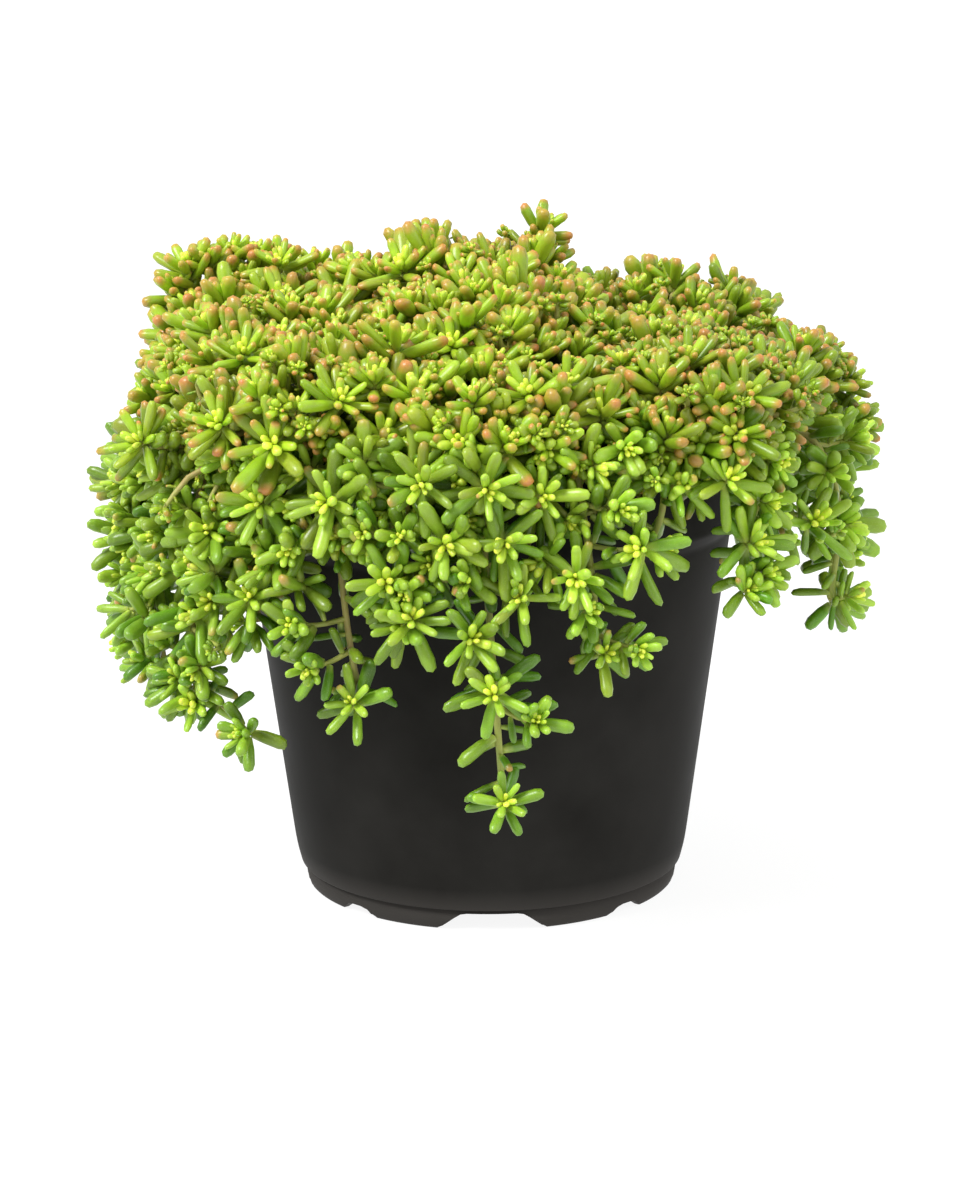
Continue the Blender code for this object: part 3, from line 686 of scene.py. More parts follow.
def make_soil():
    shape = bmesh.new()
    rings = [[shape.verts.new((0, 0, SOIL_TOP_HEIGHT))]]
    for index in range(1, SOIL_RINGS + 1):
        radius = SOIL_RADIUS * index / SOIL_RINGS
        rings.append([])
        for step in range(SOIL_STEPS):
            place = polar(radius, math.tau * step / SOIL_STEPS, 0)
            rise = noise.fractal(place * 190, 0.8, 2.1, 4) * 0.0011 + noise.noise(place * 42) * 0.0012
            if index == SOIL_RINGS:
                rise = 0
            level = SOIL_TOP_HEIGHT + (SOIL_EDGE_HEIGHT - SOIL_TOP_HEIGHT) * (radius / SOIL_RADIUS) ** 2
            place.z = min(level + rise, SOIL_TOP_HEIGHT + 0.002)
            rings[-1].append(shape.verts.new(place))
    rings += [ring(shape, radius, height, SOIL_STEPS) for radius, height in SOIL_SIDE]
    rings.append([shape.verts.new((0, 0, SOIL_SIDE[-1][1]))])
    join_rings(shape, rings)
    bmesh.ops.recalc_face_normals(shape, faces=shape.faces)
    soil = mesh_piece("potting_soil", shape, potting_soil())
    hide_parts("soil")
    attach(soil, "root")


# Where things may grow


def body_radius(height):
    share = max(0.0, (height - BODY_FOOT_HEIGHT) / (STEP_HEIGHT - BODY_FOOT_HEIGHT))
    return BODY_FOOT_RADIUS + (STEP_RADIUS - BODY_FOOT_RADIUS) * share


def pot_room(place):
    """Distance of a point from the pot's wall, lip and soil, below zero inside them."""
    radius = math.hypot(place.x, place.y)
    height = place.z
    if radius > OUTSIDE_RADIUS:
        wall = body_radius(height)
        if height >= POT_HEIGHT - LIP_DEPTH:
            wall = LIP_RADIUS
        elif height >= STEP_HEIGHT:
            wall = COLLAR_TOP_RADIUS
        return max(radius - wall, height - POT_HEIGHT)
    if height > POT_HEIGHT - 0.002:
        return height - SOIL_TOP_HEIGHT
    if radius > INSIDE_RADIUS and height < STEP_HEIGHT:
        return radius - body_radius(height)
    return min(height - SOIL_TOP_HEIGHT, FREE_RADIUS - radius)


def dome_size(tuft, rise):
    """Half width of a tuft's dome and its height on the side of the waist on which rise lies."""
    return tuft.half + HEART_OUT, tuft.top - TUFT_WAIST + HEART_UP if rise > 0 else DOME_DROP


def tuft_level(place, tuft):
    """1 on a tuft's dome, less inside it."""
    rise = place.z - TUFT_WAIST
    wide, tall = dome_size(tuft, rise)
    across = math.hypot(place.x - tuft.middle[0], place.y - tuft.middle[1])
    return math.hypot(across / wide, rise / tall)


def crown_level(place):
    return min(tuft_level(place, tuft) for tuft in TUFTS)


def nearest_tuft(place):
    return min(TUFTS, key=lambda tuft: tuft_level(place, tuft))


def tuft_normal(place, tuft):
    rise = place.z - TUFT_WAIST
    wide, tall = dome_size(tuft, rise)
    slope = Vector((
        (place.x - tuft.middle[0]) / wide ** 2, (place.y - tuft.middle[1]) / wide ** 2, rise / tall ** 2,
    ))
    return slope.normalized()


def trail_points(trail):
    azimuth, drift = math.radians(trail.azimuth), math.radians(trail.drift)
    drop = OVER_RIM - trail.tip
    # Radius, share of the drift, and height: up out of the soil, over the rim and down outside it
    guide = (
        (ROOT_RING, 0.0, 0.119), (ROOT_RING, 0.0, 0.130), (0.0745, 0.02, OVER_RIM),
        (PAST_LIP, 0.06, OVER_RIM - 0.0008), (0.4 * PAST_LIP + 0.6 * trail.reach, 0.14, OVER_RIM - 0.10 * drop),
        (trail.reach, 0.35, OVER_RIM - 0.32 * drop), (trail.reach + 0.0015, 0.65, OVER_RIM - 0.64 * drop),
        (trail.reach - 0.0010, 1.0, trail.tip),
    )
    return [polar(radius, azimuth + drift * share, height) for radius, share, height in guide]


def trail_spots(trail):
    """Even steps along the share of a trail's path that its stem takes."""
    guide = trail_points(trail)
    return [smooth_point(guide, trail.last * index / (TRAIL_SPOTS - 1)) for index in range(TRAIL_SPOTS)]


def crown_hit(pixel_x, pixel_y):
    """Where a camera ray first meets the domes of the crown, or passes nearest to them."""
    aim = pixel_ray(pixel_x, pixel_y)
    reach = RAY_NEAR
    nearest = None
    while reach < RAY_FAR:
        place = EYE + aim * reach
        level = crown_level(place)
        if level <= 1.0:
            return place
        if nearest is None or level < nearest[0]:
            nearest = (level, place)
        reach += RAY_STEP
    return nearest[1]


def curtain_hit(pixel_x, pixel_y):
    """Where a camera ray meets the upright round surface of hanging shoots, or passes nearest to it."""
    aim = pixel_ray(pixel_x, pixel_y)
    a = aim.x ** 2 + aim.y ** 2
    b = 2 * (EYE.x * aim.x + EYE.y * aim.y)
    c = EYE.x ** 2 + EYE.y ** 2 - CURTAIN_RADIUS ** 2
    inside = b * b - 4 * a * c
    return EYE + aim * ((-b - math.sqrt(max(inside, 0.0))) / (2 * a))


# Growing leaves


def cell_of(place):
    return tuple(int(value // LEAF_CELL) for value in place)


class Foliage:
    """The leaves and stems grown so far, with the room they take."""

    def __init__(self):
        self.leaves = {}
        self.stems = {}
        self.room = {}
        self.hearts = []

    def crowding(self, samples, shoot):
        """The least distance to leaves of other shoots, as a share of both half widths."""
        least = 9.0
        for place, half in samples:
            cell = cell_of(place)
            for steps in itertools.product((-1, 0, 1), repeat=3):
                key = tuple(index + step for index, step in zip(cell, steps))
                for other, width, owner in self.room.get(key, ()):
                    if owner != shoot:
                        least = min(least, (other - place).length / (half + width))
        return least

    def take(self, samples, shoot):
        for place, half in samples:
            self.room.setdefault(cell_of(place), []).append((place, half, shoot))

    def add_stem(self, piece, points, foot, tip, wood_foot, wood_tip, count):
        """A stem through the points, its radius and its woodiness running from foot to tip."""
        stem = []
        for index in range(count):
            share = index / (count - 1)
            radius = foot + (tip - foot) * share
            stem.append((smooth_point(points, share), radius, wood_foot + (wood_tip - wood_foot) * share))
        self.stems.setdefault(piece, []).append(stem)


def sides_of(axis):
    side = axis.orthogonal().normalized()
    return side, axis.cross(side)


def leaf_samples(root, direction, length, width, bend):
    """Points along a leaf with the half width that they need, or None where one of them meets the pot."""
    samples = [
        (root + direction * length * share + bend * share * share, width * 0.5)
        for share in (0.35, 0.62, 0.90)
    ]
    if min(pot_room(place) - half for place, half in samples) < LEAF_CLEARANCE:
        return None
    return samples


def leaf_record(base, direction, face, size, bend, age, tone, warm, blush):
    turned = Matrix((face.cross(direction), face, direction)).transposed().to_euler()
    return {
        "place": base, "turn": turned, "size": size, "bend": bend, "age": age, "tone": tone, "warm": warm,
        "blush": blush, "big": 1.0 if size[2] > BIG_LEAF else 0.0,
    }


def blush_of(place, age, rng, crown):
    """How coral a leaf's tip is: strongest on the sunlit top of the crown, hardly any on the trails."""
    if age < 0.2:
        return 0.0
    height = clamp((place.z - 0.140) / 0.035)
    if rng.random() < (0.38 + 0.54 * height if crown else 0.06 + 0.2 * height):
        return rng.uniform(0.50, 1.0)
    return rng.uniform(0.0, 0.25 * height)


def grow_shoot(plant, piece, path, kind, scale, rng, crown):
    """Sets leaves round a path that ends in the rosette's heart, youngest first."""
    habit = HABITS[kind]
    run, longest = habit.run * scale, habit.longest * scale
    total = 0.0
    for start, end in zip(path, path[1:]):
        total += (end - start).length
    shoot = len(plant.hearts)
    plant.hearts.append(path[-1])
    turn = rng.uniform(0, math.tau)
    leaves = plant.leaves.setdefault(piece, [])
    # A rosette that stands below the crown's surface is painted darker: painted shade
    shade = min(max(0.97 - crown_level(path[-1]), 0.0) * 2.2, 0.36) if crown else 0.0
    # The bare stem below the rosette carries more leaves where it is long
    rest = max(0.0, total - run)
    below = min(habit.below + 2 + int(max(0.0, rest - 0.018) / 0.004), int(rest / STEM_LEAF_STEP))
    for order in range(habit.count + below):
        age = order / (habit.count - 1)
        on_stem = order >= habit.count
        if on_stem:
            back = run + STEM_LEAF_STEP * (order - habit.count + 1) + rng.uniform(-0.0006, 0.0006)
        else:
            back = run * age ** 1.5
        back = min(back, total * 0.98)
        share = (total - back) / total
        root = smooth_point(path, share)
        axis = (smooth_point(path, min(share + 0.05, 1.0)) - smooth_point(path, share - 0.05)).normalized()
        side, other = sides_of(axis)
        turn += GOLDEN_ANGLE
        best = None
        # Where the leaf would be crowded, a few other turns and tilts are tried
        for attempt in range(5):
            around = turn + rng.gauss(0, 0.13 + 0.16 * attempt)
            young = min(age / 0.65, 1.0)
            own = clamp(rng.gauss(1, ROSETTE_LENGTH_SPREAD), *ROSETTE_LENGTH)
            length = longest * (0.33 + 0.67 * young ** 1.4) * own
            tilt = habit.spread * (0.19 + 0.81 * min(age, 1.0) ** 0.78) + rng.gauss(0, 6 + 4 * attempt)
            if on_stem:
                length = longest * rng.uniform(*STEM_LEAF_LENGTH)
                tilt = rng.uniform(*STEM_LEAF_TILT)
            width = length * habit.plump * rng.uniform(0.9, 1.12)
            if age < YOUNG_LEAF:
                width = length * (max(habit.plump, 0.45) - 0.34 * age) * rng.uniform(0.88, 1.12)
            elif on_stem and crown:
                width = length * rng.uniform(*STEM_LEAF_WIDTH)
            tilt = math.radians(tilt)
            out = math.cos(around) * side + math.sin(around) * other
            direction = math.cos(tilt) * axis + math.sin(tilt) * out
            face = (axis - axis.dot(direction) * direction).normalized()
            lift = face * length * rng.uniform(*LEAF_CURVE) * min(1.0, 0.3 + age)
            bend = lift - UP * length * LEAF_SAG * min(age, 1)
            base = root + out * 0.0006 * math.sin(tilt)
            samples = leaf_samples(base, direction, length, width, bend)
            if samples is None:
                continue
            gap = plant.crowding(samples, shoot)
            if best is None or gap > best[0]:
                best = (gap, base, direction, face, length, width, bend, samples)
            if gap > UNCROWDED:
                break
        if best is None or (best[0] < TOO_CROWDED and order > 4):
            continue
        gap, base, direction, face, length, width, bend, samples = best
        plant.take(samples, shoot)
        shine = clamp((base.z - 0.05) / 0.13)
        right = clamp(base.x / 0.06)
        ripe = min(age, 1.0) * (0.85 if crown and shine > 0.75 else 1.0) + (0.1 if on_stem else 0.0)
        # Tone is how light a leaf is, warm how olive. Tone holds painted light on high leaves, and to the right
        # painted shade on the crown and painted light on the trails
        leaves.append(leaf_record(
            base, direction, face, (width, width * rng.uniform(*THICKNESS), length), bend, ripe,
            tone=rng.gauss(0.98 + 0.06 * shine - shade + (-0.27 if crown else 0.27) * right, 0.11),
            warm=clamp(rng.gauss((0.22 if crown else 0.18 * right) + (0.62 - 0.30 * right) * shine, 0.20)),
            blush=blush_of(base, age, rng, crown),
        ))


def stem_leaves(plant, piece, spots, rng):
    """Single leaves along a bare trail, each a golden angle on from the last and leaning down it."""
    leaves = plant.leaves.setdefault(piece, [])
    turn = rng.uniform(0, math.tau)
    gone, gap = 0.0, 0.004
    for before, spot in zip(spots, spots[1:]):
        gone += (spot - before).length
        turn += 0.3
        if gone < gap:
            continue
        gone, gap = 0.0, rng.uniform(*BARE_LEAF_STEP)
        turn += GOLDEN_ANGLE
        axis = (spot - before).normalized()
        side, other = sides_of(axis)
        for attempt in range(6):
            around = turn + rng.gauss(0, 0.5 * attempt)
            out = math.cos(around) * side + math.sin(around) * other
            tilt = math.radians(rng.uniform(*BARE_LEAF_TILT))
            direction = (math.cos(tilt) * axis + math.sin(tilt) * out + UP * 0.15).normalized()
            face = (axis - axis.dot(direction) * direction).normalized()
            length = rng.uniform(*BARE_LEAF_LENGTH)
            width = length * rng.uniform(*BARE_LEAF_WIDTH)
            bend = face * length * rng.uniform(*BARE_LEAF_CURVE)
            base = spot + out * 0.0007
            samples = leaf_samples(base, direction, length, width, bend)
            if samples is None or plant.crowding(samples, -1) < 0.7:
                continue
            plant.take(samples, -2 - len(leaves))
            leaves.append(leaf_record(
                base, direction, face, (width, width * rng.uniform(*THICKNESS), length), bend,
                age=rng.uniform(0.75, 1.1), tone=rng.gauss(1.0, 0.09), warm=rng.uniform(0.0, 0.3), blush=0.0,
            ))
            break


def strewn(rng, spread, lift=0):
    return Vector((rng.gauss(0, spread), rng.gauss(0, spread), rng.gauss(lift, spread)))


def outward_of(place):
    return Vector((place.x, place.y, 0)).normalized()


def clear_of(heart, taken, spacing):
    return min((heart - other).length for other in taken) >= spacing


def crown_shoot(plant, heart, axis, kind, scale, rng):
    """A shoot that rises from its tuft's core, inside the crown, and ends in the heart along the axis."""
    tuft = nearest_tuft(heart)
    core = Vector((tuft.middle[0], tuft.middle[1], TUFT_WAIST + 0.004))
    foot = core.lerp(heart, 0.42)
    middle = (heart - axis * 0.011 * scale).lerp(foot, 0.15)
    path = [foot, middle, heart - axis * 0.004 * scale, heart]
    plant.add_stem("crown_stems", path, 0.0010, 0.0005, 0.7, 0.05, 6)
    grow_shoot(plant, tuft.name, path, kind, scale, rng, True)


def sow(rng, taken, tries, lowest, spacing, clear, inner=False):
    """Yields tufts and hearts strewn over their domes, clear of the other domes, the pot and each other. Inner
    hearts stand deeper, in the valleys between the tufts."""
    for attempt in range(tries):
        tuft = rng.choice(TUFTS)
        aim = strewn(rng, 1).normalized()
        if aim.z < lowest:
            continue
        wide, tall = dome_size(tuft, UP.z if inner else aim.z)
        if inner:
            wide, tall = wide * INNER_WIDTH, tall * INNER_HEIGHT
        heart = Vector((tuft.middle[0] + aim.x * wide, tuft.middle[1] + aim.y * wide, TUFT_WAIST + aim.z * tall))
        levels = sorted(tuft_level(heart, other) for other in TUFTS)
        if levels[1 if inner else 0] < clear or pot_room(heart) < HEART_CLEARANCE:
            continue
        if clear_of(heart, taken, spacing()):
            taken.append(heart)
            yield tuft, heart


def grow_crown(plant, rng):
    for table, kind, facing, lift in ((CROWN_STARS, "star", 0.53, 0.40), (CROWN_CLUBS, "club", 0.12, 0.80)):
        for *pixel, percent in table:
            heart = crown_hit(*pixel)
            normal = tuft_normal(heart, nearest_tuft(heart))
            look = (EYE - heart).normalized()
            turned = facing * rng.uniform(0.55, 1.15)
            axis = (normal * (1 - turned) + look * turned + strewn(rng, 0.14, lift)).normalized()
            crown_shoot(plant, heart, axis, kind, percent / 100, rng)
    for pixel in BEAD_BUDS:
        heart = crown_hit(*pixel)
        axis = (tuft_normal(heart, nearest_tuft(heart)) + UP * 0.2).normalized()
        crown_shoot(plant, heart + axis * 0.002, axis, "bud", 1.0, rng)
    taken = list(plant.hearts)
    domes = sow(rng, taken, 40000, lowest=-0.75, spacing=lambda: CROWN_SPACING * rng.uniform(0.85, 1.1),
                clear=0.995)
    for tuft, heart in domes:
        kind = rng.choices(WILD_KINDS, CROWN_MIX)[0]
        lift = 0.85 if kind in ("club", "tall") else 0.25
        axis = (tuft_normal(heart, tuft) + strewn(rng, 0.3, lift)).normalized()
        sunk = heart - axis * (rng.uniform(-0.0035, 0.0065) + (0.0020 if kind == "tall" else 0.0))
        crown_shoot(plant, sunk, axis, kind, rng.uniform(0.74, 1.16), rng)
    # A lower layer fills the valleys between the tufts
    valleys = sow(rng, taken, 20000, lowest=-0.1, spacing=lambda: INNER_SPACING, clear=0.93, inner=True)
    for tuft, heart in itertools.islice(valleys, INNER_SHOOTS):
        axis = (tuft_normal(heart, tuft) + UP * 0.5).normalized()
        crown_shoot(plant, heart, axis, rng.choice(("club", "tall", "bud")), rng.uniform(0.75, 1.0), rng)
    # Young bead-like shoots stand in the gaps between the others
    gaps = sow(rng, taken, 20000, lowest=-0.4, spacing=lambda: BEAD_SPACING, clear=0.97)
    for tuft, heart in itertools.islice(gaps, BEADS):
        axis = (tuft_normal(heart, tuft) + Vector((rng.gauss(0, 0.3), rng.gauss(0, 0.3), 0.2))).normalized()
        crown_shoot(plant, heart + axis * 0.0035, axis, "bud", rng.uniform(0.75, 1.25), rng)


def climb(spot, heart):
    """How far a side shoot has to reach from a spot to its heart, much farther where it would have to rise."""
    return (spot - heart).length + (RISE_PENALTY if spot.z < heart.z - 0.001 else 0.0)


def side_shoot(plant, trail, outside, heart, axis, kind, scale, rng):
    """A shoot that leaves the trail's stem outside the rim, above the heart, and ends in the heart."""
    best = min(outside, key=lambda spot: climb(spot, heart))
    if heart.z > HIGH_SHOOT:
        # High shoots may come straight out of the crown
        tuft = nearest_tuft(heart)
        inner = Vector((tuft.middle[0], tuft.middle[1], TUFT_WAIST - 0.004))
        inner.xy = inner.xy * min(1.0, INNER_RING / max(inner.xy.length, 0.001))
        best = min((best, inner.lerp(heart, 0.45), inner.lerp(heart, 0.6)), key=lambda spot: climb(spot, heart))
    reach = (heart - best).length
    middle = best.lerp(heart, 0.5) - UP * 0.05 * reach + axis * -0.12 * reach
    radius = math.hypot(middle.x, middle.y)
    if pot_room(middle) < 0.003:
        middle.xy = middle.xy * ((radius + 0.004) / radius)
    path = [best, middle, heart - axis * min(0.004 * scale, reach * 0.3), heart]
    plant.add_stem("trail_stems", path, 0.0008, 0.0005, 0.25, 0.05, 9)
    grow_shoot(plant, trail.name, path, kind, scale, rng, False)


def grow_trails(plant, rng):
    stems = {trail: trail_spots(trail) for trail in TRAILS}
    outside = {trail: spots[FIRST_OUTSIDE:] for trail, spots in stems.items()}
    placed = []
    for table, kind, facing in ((TRAIL_STARS, "star", 0.60), (TRAIL_CLUBS, "club", 0.25)):
        for *pixel, percent in table:
            heart = curtain_hit(*pixel)
            trail = min(TRAILS, key=lambda item: min(climb(spot, heart) for spot in outside[item]))
            look = (EYE - heart).normalized()
            turned = facing * rng.uniform(0.6, 1.2)
            loose = Vector((rng.gauss(0, 0.15), rng.gauss(0, 0.15), rng.uniform(-0.15, 0.35)))
            axis = (outward_of(heart) * (1 - turned) + look * turned + loose).normalized()
            side_shoot(plant, trail, outside[trail], heart, axis, kind, percent / 100, rng)
            placed.append(heart)
    for trail, spots in stems.items():
        guide = trail_points(trail)
        woody = 0.40 if "left" in trail.name or trail.name == "trail_right" else 0.10
        plant.add_stem("trail_stems", spots[::2] + spots[-1:], 0.0012, 0.0009, 0.6, woody, 34)
        tip = spots[-1]
        outward = outward_of(tip)
        if clear_of(tip, placed, TIP_CLEARANCE):
            path = [spots[-10], spots[-5], tip + outward * 0.0015, tip + outward * 0.0065 + UP * 0.0010]
            plant.add_stem("trail_stems", path[1:], 0.0009, 0.0005, woody, 0.0, 7)
            grow_shoot(plant, trail.name, path, "tip", rng.uniform(0.80, 0.98), rng, False)
            placed.append(tip)
        stem_leaves(plant, trail.name, spots[FIRST_BARE:-3], rng)
        wild, tries = trail.wild, 0
        while wild > 0 and tries < WILD_TRIES:
            tries += 1
            spot = smooth_point(guide, rng.uniform(0.34, 0.98 * trail.last))
            azimuth = math.atan2(spot.y, spot.x) + rng.uniform(-0.19, 0.19)
            radius = math.hypot(spot.x, spot.y) + rng.uniform(0.001, 0.011)
            heart = polar(min(radius, CURTAIN_LIMIT), azimuth, spot.z + rng.uniform(-0.006, 0.006))
            if heart.z < trail.lowest or is_open(heart) or pot_room(heart) < 0.004:
                continue
            if not clear_of(heart, placed, TRAIL_SPACING):
                continue
            axis = (outward_of(heart) + strewn(rng, 0.38, 0.15)).normalized()
            kind = rng.choices(WILD_KINDS, TRAIL_MIX)[0]
            side_shoot(plant, trail, outside[trail], heart, axis, kind, rng.uniform(0.82, 1.05), rng)
            placed.append(heart)
            wild -= 1


def grow_rootlets(plant, rng):
    """Fine dry rootlets that creep from the crown over the rim, where the photograph shows them."""
    for azimuth, count in ROOTLETS:
        for index in range(count):
            turn = math.radians(azimuth + rng.uniform(-7, 7))
            swing = math.radians(rng.uniform(-9, 9))
            points = [
                polar(0.0700, turn, 0.1330), polar(0.0775, turn + swing * 0.2, POT_HEIGHT + 0.0012),
                polar(LIP_RADIUS + 0.0006, turn + swing * 0.4, POT_HEIGHT + rng.uniform(0.0006, 0.0020)),
                polar(LIP_RADIUS + 0.0016, turn + swing * 0.7, POT_HEIGHT - rng.uniform(0.002, 0.004)),
                polar(LIP_RADIUS + rng.uniform(0.0006, 0.0040), turn + swing,
                      POT_HEIGHT - rng.uniform(0.006, 0.012)),
            ]
            plant.add_stem("trail_stems", points, 0.00022, 0.00010, 0.75, 1.0, 10)


# Geometry Nodes


def new_tree(name, inputs):
    """An empty Geometry Nodes tree with named inputs, the sockets of its input node, and its output node."""
    tree = bpy.data.node_groups.new(name, "GeometryNodeTree")
    tree.interface.new_socket("Geometry", in_out="INPUT", socket_type="NodeSocketGeometry")
    for label, kind in inputs.items():
        tree.interface.new_socket(label, in_out="INPUT", socket_type="NodeSocket" + kind)
    tree.interface.new_socket("Geometry", in_out="OUTPUT", socket_type="NodeSocketGeometry")
    return tree, put(tree, "NodeGroupInput").outputs, put(tree, "NodeGroupOutput")


def close_tree(tree, shape, skin, end):
    skinned = put(tree, "GeometryNodeSetMaterial", {"Geometry": shape, "Material": skin})
    tree.links.new(skinned.outputs[0], end.inputs[0])
    return tree


def curve_points(made, points):
    """Gives a Float Curve node the points, smoothly joined."""
    curve = made.mapping.curves[0]
    while len(curve.points) < len(points):
        curve.points.new(0.5, 0.5)
    for spot, (across, rise) in zip(curve.points, points):
        spot.location = (across, rise)
        spot.handle_type = "AUTO_CLAMPED"
    made.mapping.update()


def leaf_form():
    """One plump leaf, a unit long and wide: a ball drawn out to a narrow foot and a blunt round tip, its upper
    side a little flattened. How far a point is along the leaf is kept for the colours."""
    tree, start, end = new_tree("sedum_leaf_form", {
        "Leaf sides": "Int", "Leaf rings": "Int", "Upper flattening": "Float",
    })
    ball = put(tree, "GeometryNodeMeshUVSphere", (start["Leaf sides"], start["Leaf rings"], 1.0))
    spot = put(tree, "GeometryNodeInputPosition")
    parts = put(tree, "ShaderNodeSeparateXYZ", (spot,)).outputs
    rise = put(tree, "ShaderNodeMapRange", (parts["Z"], -1.0, 1.0, 0.0, 1.0))
    length = put(tree, "ShaderNodeFloatCurve", {1: rise})
    curve_points(length, ((0, 0), (0.095, 0.045), (0.345, 0.38), (0.655, 0.78), (0.905, 0.945), (1, 1)))
    girth = put(tree, "ShaderNodeFloatCurve", {1: rise})
    curve_points(girth, ((0, 0.38), (0.095, 0.60), (0.345, 0.92), (0.655, 0.99), (0.905, 0.70), (1, 0.45)))
    flat = put(tree, "ShaderNodeCombineXYZ", (parts["X"], parts["Y"]))
    ray = put(tree, "ShaderNodeVectorMath", (flat,), operation="NORMALIZE")
    half = put(tree, "ShaderNodeMath", (girth, 0.5), operation="MULTIPLY")
    wide = put(tree, "ShaderNodeVectorMath", {0: ray, "Scale": half}, operation="SCALE")
    sides = put(tree, "ShaderNodeSeparateXYZ", (wide,)).outputs
    upper = put(tree, "ShaderNodeMath", (sides["Y"], 0.0), operation="GREATER_THAN")
    press = put(tree, "ShaderNodeMath", (upper, start["Upper flattening"]), operation="MULTIPLY")
    keep = put(tree, "ShaderNodeMath", (1.0, press), operation="SUBTRACT")
    thick = put(tree, "ShaderNodeMath", (sides["Y"], keep), operation="MULTIPLY")
    moved = put(tree, "ShaderNodeCombineXYZ", (sides["X"], thick, length))
    formed = put(tree, "GeometryNodeSetPosition", {"Geometry": ball, "Position": moved})
    again = put(tree, "GeometryNodeInputPosition")
    level = put(tree, "ShaderNodeSeparateXYZ", (again,)).outputs["Z"]
    marked = put(tree, "GeometryNodeStoreNamedAttribute", {"Geometry": formed, "Name": "along", "Value": level},
                 data_type="FLOAT", domain="POINT")
    smooth = put(tree, "GeometryNodeSetShadeSmooth", (marked,))
    tree.links.new(smooth.outputs[0], end.inputs[0])
    return tree


def leaf_tree():
    """Sets one leaf on each point, turned, sized and bent as the point's attributes say. Small leaves at the
    hearts have fewer faces than big ones."""
    tree, start, end = new_tree("sedum_leaves", {
        "Big leaf sides": "Int", "Big leaf rings": "Int", "Small leaf sides": "Int", "Small leaf rings": "Int",
        "Upper flattening": "Float", "Skin": "Material",
    })
    form = leaf_form()
    big, turn, size, bend, along = (
        put(tree, "GeometryNodeInputNamedAttribute", {"Name": label}, data_type=kind) for label, kind in (
            ("big", "FLOAT"), ("turn", "FLOAT_VECTOR"), ("size", "FLOAT_VECTOR"), ("bend", "FLOAT_VECTOR"),
            ("along", "FLOAT"),
        )
    )
    both = put(tree, "GeometryNodeJoinGeometry")
    # The last link into a join comes first in it, so the small leaf has index 0
    for label in ("Big", "Small"):
        made = put(tree, "GeometryNodeGroup", {
            "Leaf sides": start[label + " leaf sides"], "Leaf rings": start[label + " leaf rings"],
            "Upper flattening": start["Upper flattening"],
        }, node_tree=form)
        one = put(tree, "GeometryNodeGeometryToInstance", (made,))
        tree.links.new(one.outputs[0], both.inputs[0])
    placed = put(tree, "GeometryNodeInstanceOnPoints", {
        "Points": start["Geometry"], "Instance": both, "Pick Instance": True,
        "Instance Index": put(tree, "FunctionNodeFloatToInt", (big,)),
        "Rotation": put(tree, "FunctionNodeEulerToRotation", (turn,)), "Scale": size,
    })
    real = put(tree, "GeometryNodeRealizeInstances", (placed,))
    square = put(tree, "ShaderNodeMath", (along, 2.0), operation="POWER")
    swing = put(tree, "ShaderNodeVectorMath", {0: bend, "Scale": square}, operation="SCALE")
    bent = put(tree, "GeometryNodeSetPosition", {"Geometry": real, "Offset": swing})
    return close_tree(tree, bent, start["Skin"], end)


def stem_tree():
    """Turns lines of points into round stems, as thick as the points' attribute says."""
    tree, start, end = new_tree("sedum_stems", {"Stem sides": "Int", "Thickness": "Float", "Skin": "Material"})
    line = put(tree, "GeometryNodeMeshToCurve", (start["Geometry"],))
    girth = put(tree, "GeometryNodeInputNamedAttribute", {"Name": "girth"}, data_type="FLOAT")
    thick = put(tree, "ShaderNodeMath", (girth, start["Thickness"]), operation="MULTIPLY")
    hoop = put(tree, "GeometryNodeCurvePrimitiveCircle", {"Resolution": start["Stem sides"], "Radius": 1.0})
    tube = put(tree, "GeometryNodeCurveToMesh", {
        "Curve": line, "Profile Curve": hoop, "Scale": thick, "Fill Caps": True,
    })
    smooth = put(tree, "GeometryNodeSetShadeSmooth", (tube,))
    real = put(tree, "GeometryNodeRealizeInstances", (smooth,))
    return close_tree(tree, real, start["Skin"], end)


def grown(name, data, tree, values):
    """A plain mesh piece: the tree's result on the given mesh, with its inputs set by socket identifier."""
    seed = bpy.data.objects.new(name + "_points", data)
    bpy.context.scene.collection.objects.link(seed)
    maker = seed.modifiers.new("maker", "NODES")
    maker.node_group = tree
    for item in tree.interface.items_tree:
        if item.in_out == "INPUT" and item.name in values:
            maker[item.identifier] = values[item.name]
    bpy.context.view_layer.update()
    view = bpy.context.evaluated_depsgraph_get()
    mesh = bpy.data.meshes.new_from_object(seed.evaluated_get(view), preserve_all_data_layers=True, depsgraph=view)
    seed.modifiers.remove(maker)
    bpy.data.objects.remove(seed)
    mesh.name = name
    item = bpy.data.objects.new(name, mesh)
    bpy.context.scene.collection.objects.link(item)
    return item


def leaf_points(name, leaves):
    """A mesh with one point for each leaf, which carries what the tree and the finish need."""
    data = bpy.data.meshes.new(name + "_points")
    data.from_pydata([leaf["place"] for leaf in leaves], [], [])
    for label in ("turn", "size", "bend"):
        layer = data.attributes.new(label, "FLOAT_VECTOR", "POINT")
        layer.data.foreach_set("vector", [value for leaf in leaves for value in leaf[label]])
    for label in ("age", "tone", "warm", "blush", "big"):
        layer = data.attributes.new(label, "FLOAT", "POINT")
        layer.data.foreach_set("value", [leaf[label] for leaf in leaves])
    return data


def stem_lines(name, stems):
    """A mesh of bare edges, one line for each stem."""
    spots, edges = [], []
    for stem in stems:
        first = len(spots)
        spots += stem
        edges += [(index, index + 1) for index in range(first, len(spots) - 1)]
    places, girths, woods = zip(*spots)
    data = bpy.data.meshes.new(name + "_lines")
    data.from_pydata(places, edges, [])
    for label, values in (("girth", girths), ("wood", woods)):
        layer = data.attributes.new(label, "FLOAT", "POINT")
        layer.data.foreach_set("value", values)
    return data


# The other pieces and the whole


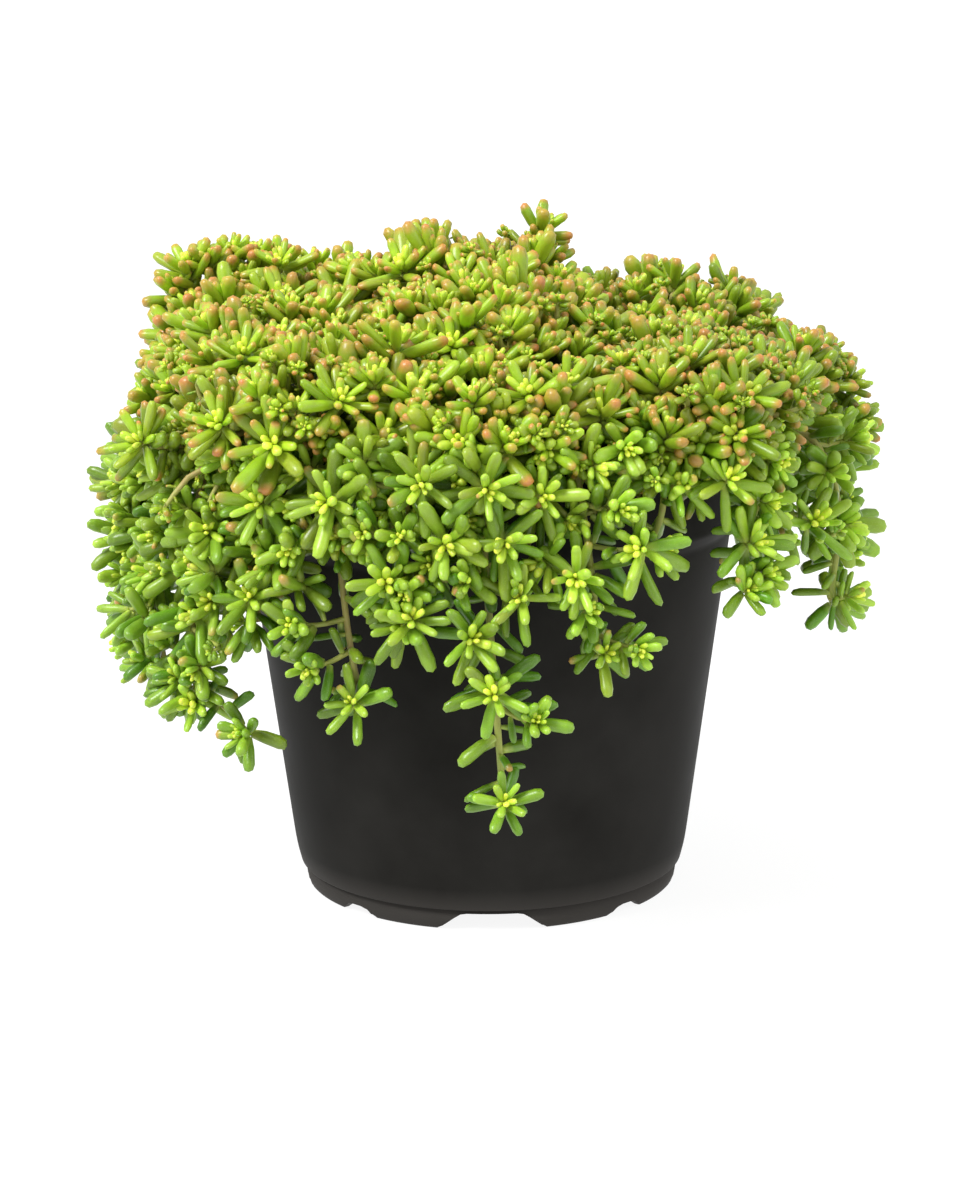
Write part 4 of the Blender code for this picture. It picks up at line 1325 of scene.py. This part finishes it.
def make_crumbs():
    """Crumbs of bark and peat lying on the soil, sown by a seeded Geometry Nodes tree."""
    tree, start, end = new_tree("soil_crumbs", {
        "Crumb count per square metre": "Float", "Seed": "Int", "Skin": "Material",
    })
    sown = put(tree, "GeometryNodeDistributePointsOnFaces", {
        "Mesh": start["Geometry"], "Density": start["Crumb count per square metre"], "Seed": start["Seed"],
    })
    crumb = put(tree, "GeometryNodeMeshIcoSphere", {"Radius": CRUMB_RADIUS, "Subdivisions": 1})
    turn, size = (
        put(tree, "FunctionNodeRandomValue", {0: low, 1: high, 8: seed}, data_type="FLOAT_VECTOR")
        for low, high, seed in (((0, 0, 0), (6.28, 6.28, 6.28), 3), ((0.5, 0.4, 0.3), (2.2, 1.3, 0.9), 4))
    )
    placed = put(tree, "GeometryNodeInstanceOnPoints", {
        "Points": sown, "Instance": crumb, "Rotation": put(tree, "FunctionNodeEulerToRotation", (turn,)),
        "Scale": size,
    })
    real = put(tree, "GeometryNodeRealizeInstances", (placed,))
    close_tree(tree, real, start["Skin"], end)
    shape = bmesh.new()
    bmesh.ops.create_circle(shape, cap_ends=True, radius=SOIL_RADIUS - 0.002, segments=48)
    for vertex in shape.verts:
        vertex.co.z = SOIL_TOP_HEIGHT - 0.0004
    bed = bpy.data.meshes.new("crumb_bed")
    shape.to_mesh(bed)
    shape.free()
    crumbs = grown("soil_crumbs", bed, tree, {
        "Crumb count per square metre": CRUMBS_PER_SQUARE_METRE, "Seed": SEED, "Skin": bark_crumb(),
    })
    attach(crumbs, "root")


def make_thatch():
    """Rough dark clumps inside the tufts, which the leaves stand out of; their dark colour is partly painted shade.
    """
    shape = bmesh.new()
    for tuft in TUFTS:
        start = len(shape.verts)
        bmesh.ops.create_icosphere(shape, subdivisions=4, radius=1.0)
        shape.verts.ensure_lookup_table()
        own = Vector((*tuft.middle, tuft.top)) * 60
        for vertex in shape.verts[start:]:
            unit = vertex.co.copy()
            rough = 1 + 0.16 * noise.noise(unit * 5.0 + own) + 0.10 * noise.noise(unit * 13.0)
            tall = (tuft.top - TUFT_WAIST) * THATCH_HEIGHT if unit.z > 0 else THATCH_DROP
            vertex.co = Vector((
                tuft.middle[0] + unit.x * tuft.half * THATCH_WIDTH * rough,
                tuft.middle[1] + unit.y * tuft.half * THATCH_WIDTH * rough,
                TUFT_WAIST + unit.z * tall * rough,
            ))
    # The dark clumps are painted shade deep inside the tufts
    thatch = mesh_piece("inner_thatch_painted_shade", shape, thatch_painted_shade())
    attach(thatch, "root")


def make_plant():
    rng = random.Random(SEED)
    plant = Foliage()
    grow_trails(plant, rng)
    grow_crown(plant, rng)
    grow_rootlets(plant, rng)
    tree = leaf_tree()
    skins = {
        "crown_foliage": sedum_leaf("sedum_leaf_in_sun", "#9cc423", "#7dab14", "#528405", "#c67e45"),
        "trail_foliage": sedum_leaf("sedum_leaf_in_shade", "#a3c83f", "#7fa82a", "#538210", "#bb8a4c"),
    }
    for node, leaves in plant.leaves.items():
        slot = "crown_foliage" if node.startswith("tuft") else "trail_foliage"
        piece = grown(node + "_leaves", leaf_points(node, leaves), tree, {
            "Big leaf sides": 8, "Big leaf rings": 5, "Small leaf sides": 6, "Small leaf rings": 4,
            "Upper flattening": 0.22, "Skin": skins[slot],
        })
        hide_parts(node)
        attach(piece, "root")
    bark = sedum_bark()
    stalks = stem_tree()
    for name, slot in (("crown_stems", "crown_foliage"), ("trail_stems", "trail_foliage")):
        piece = grown(name, stem_lines(name, plant.stems[name]), stalks, {
            "Stem sides": 6, "Thickness": 1.0, "Skin": bark,
        })
        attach(piece, "root")
    make_thatch()
    make_crumbs()


def main():
    make_camera()
    make_light()
    make_floor()
    make_pot()
    make_soil()
    make_plant()


main()
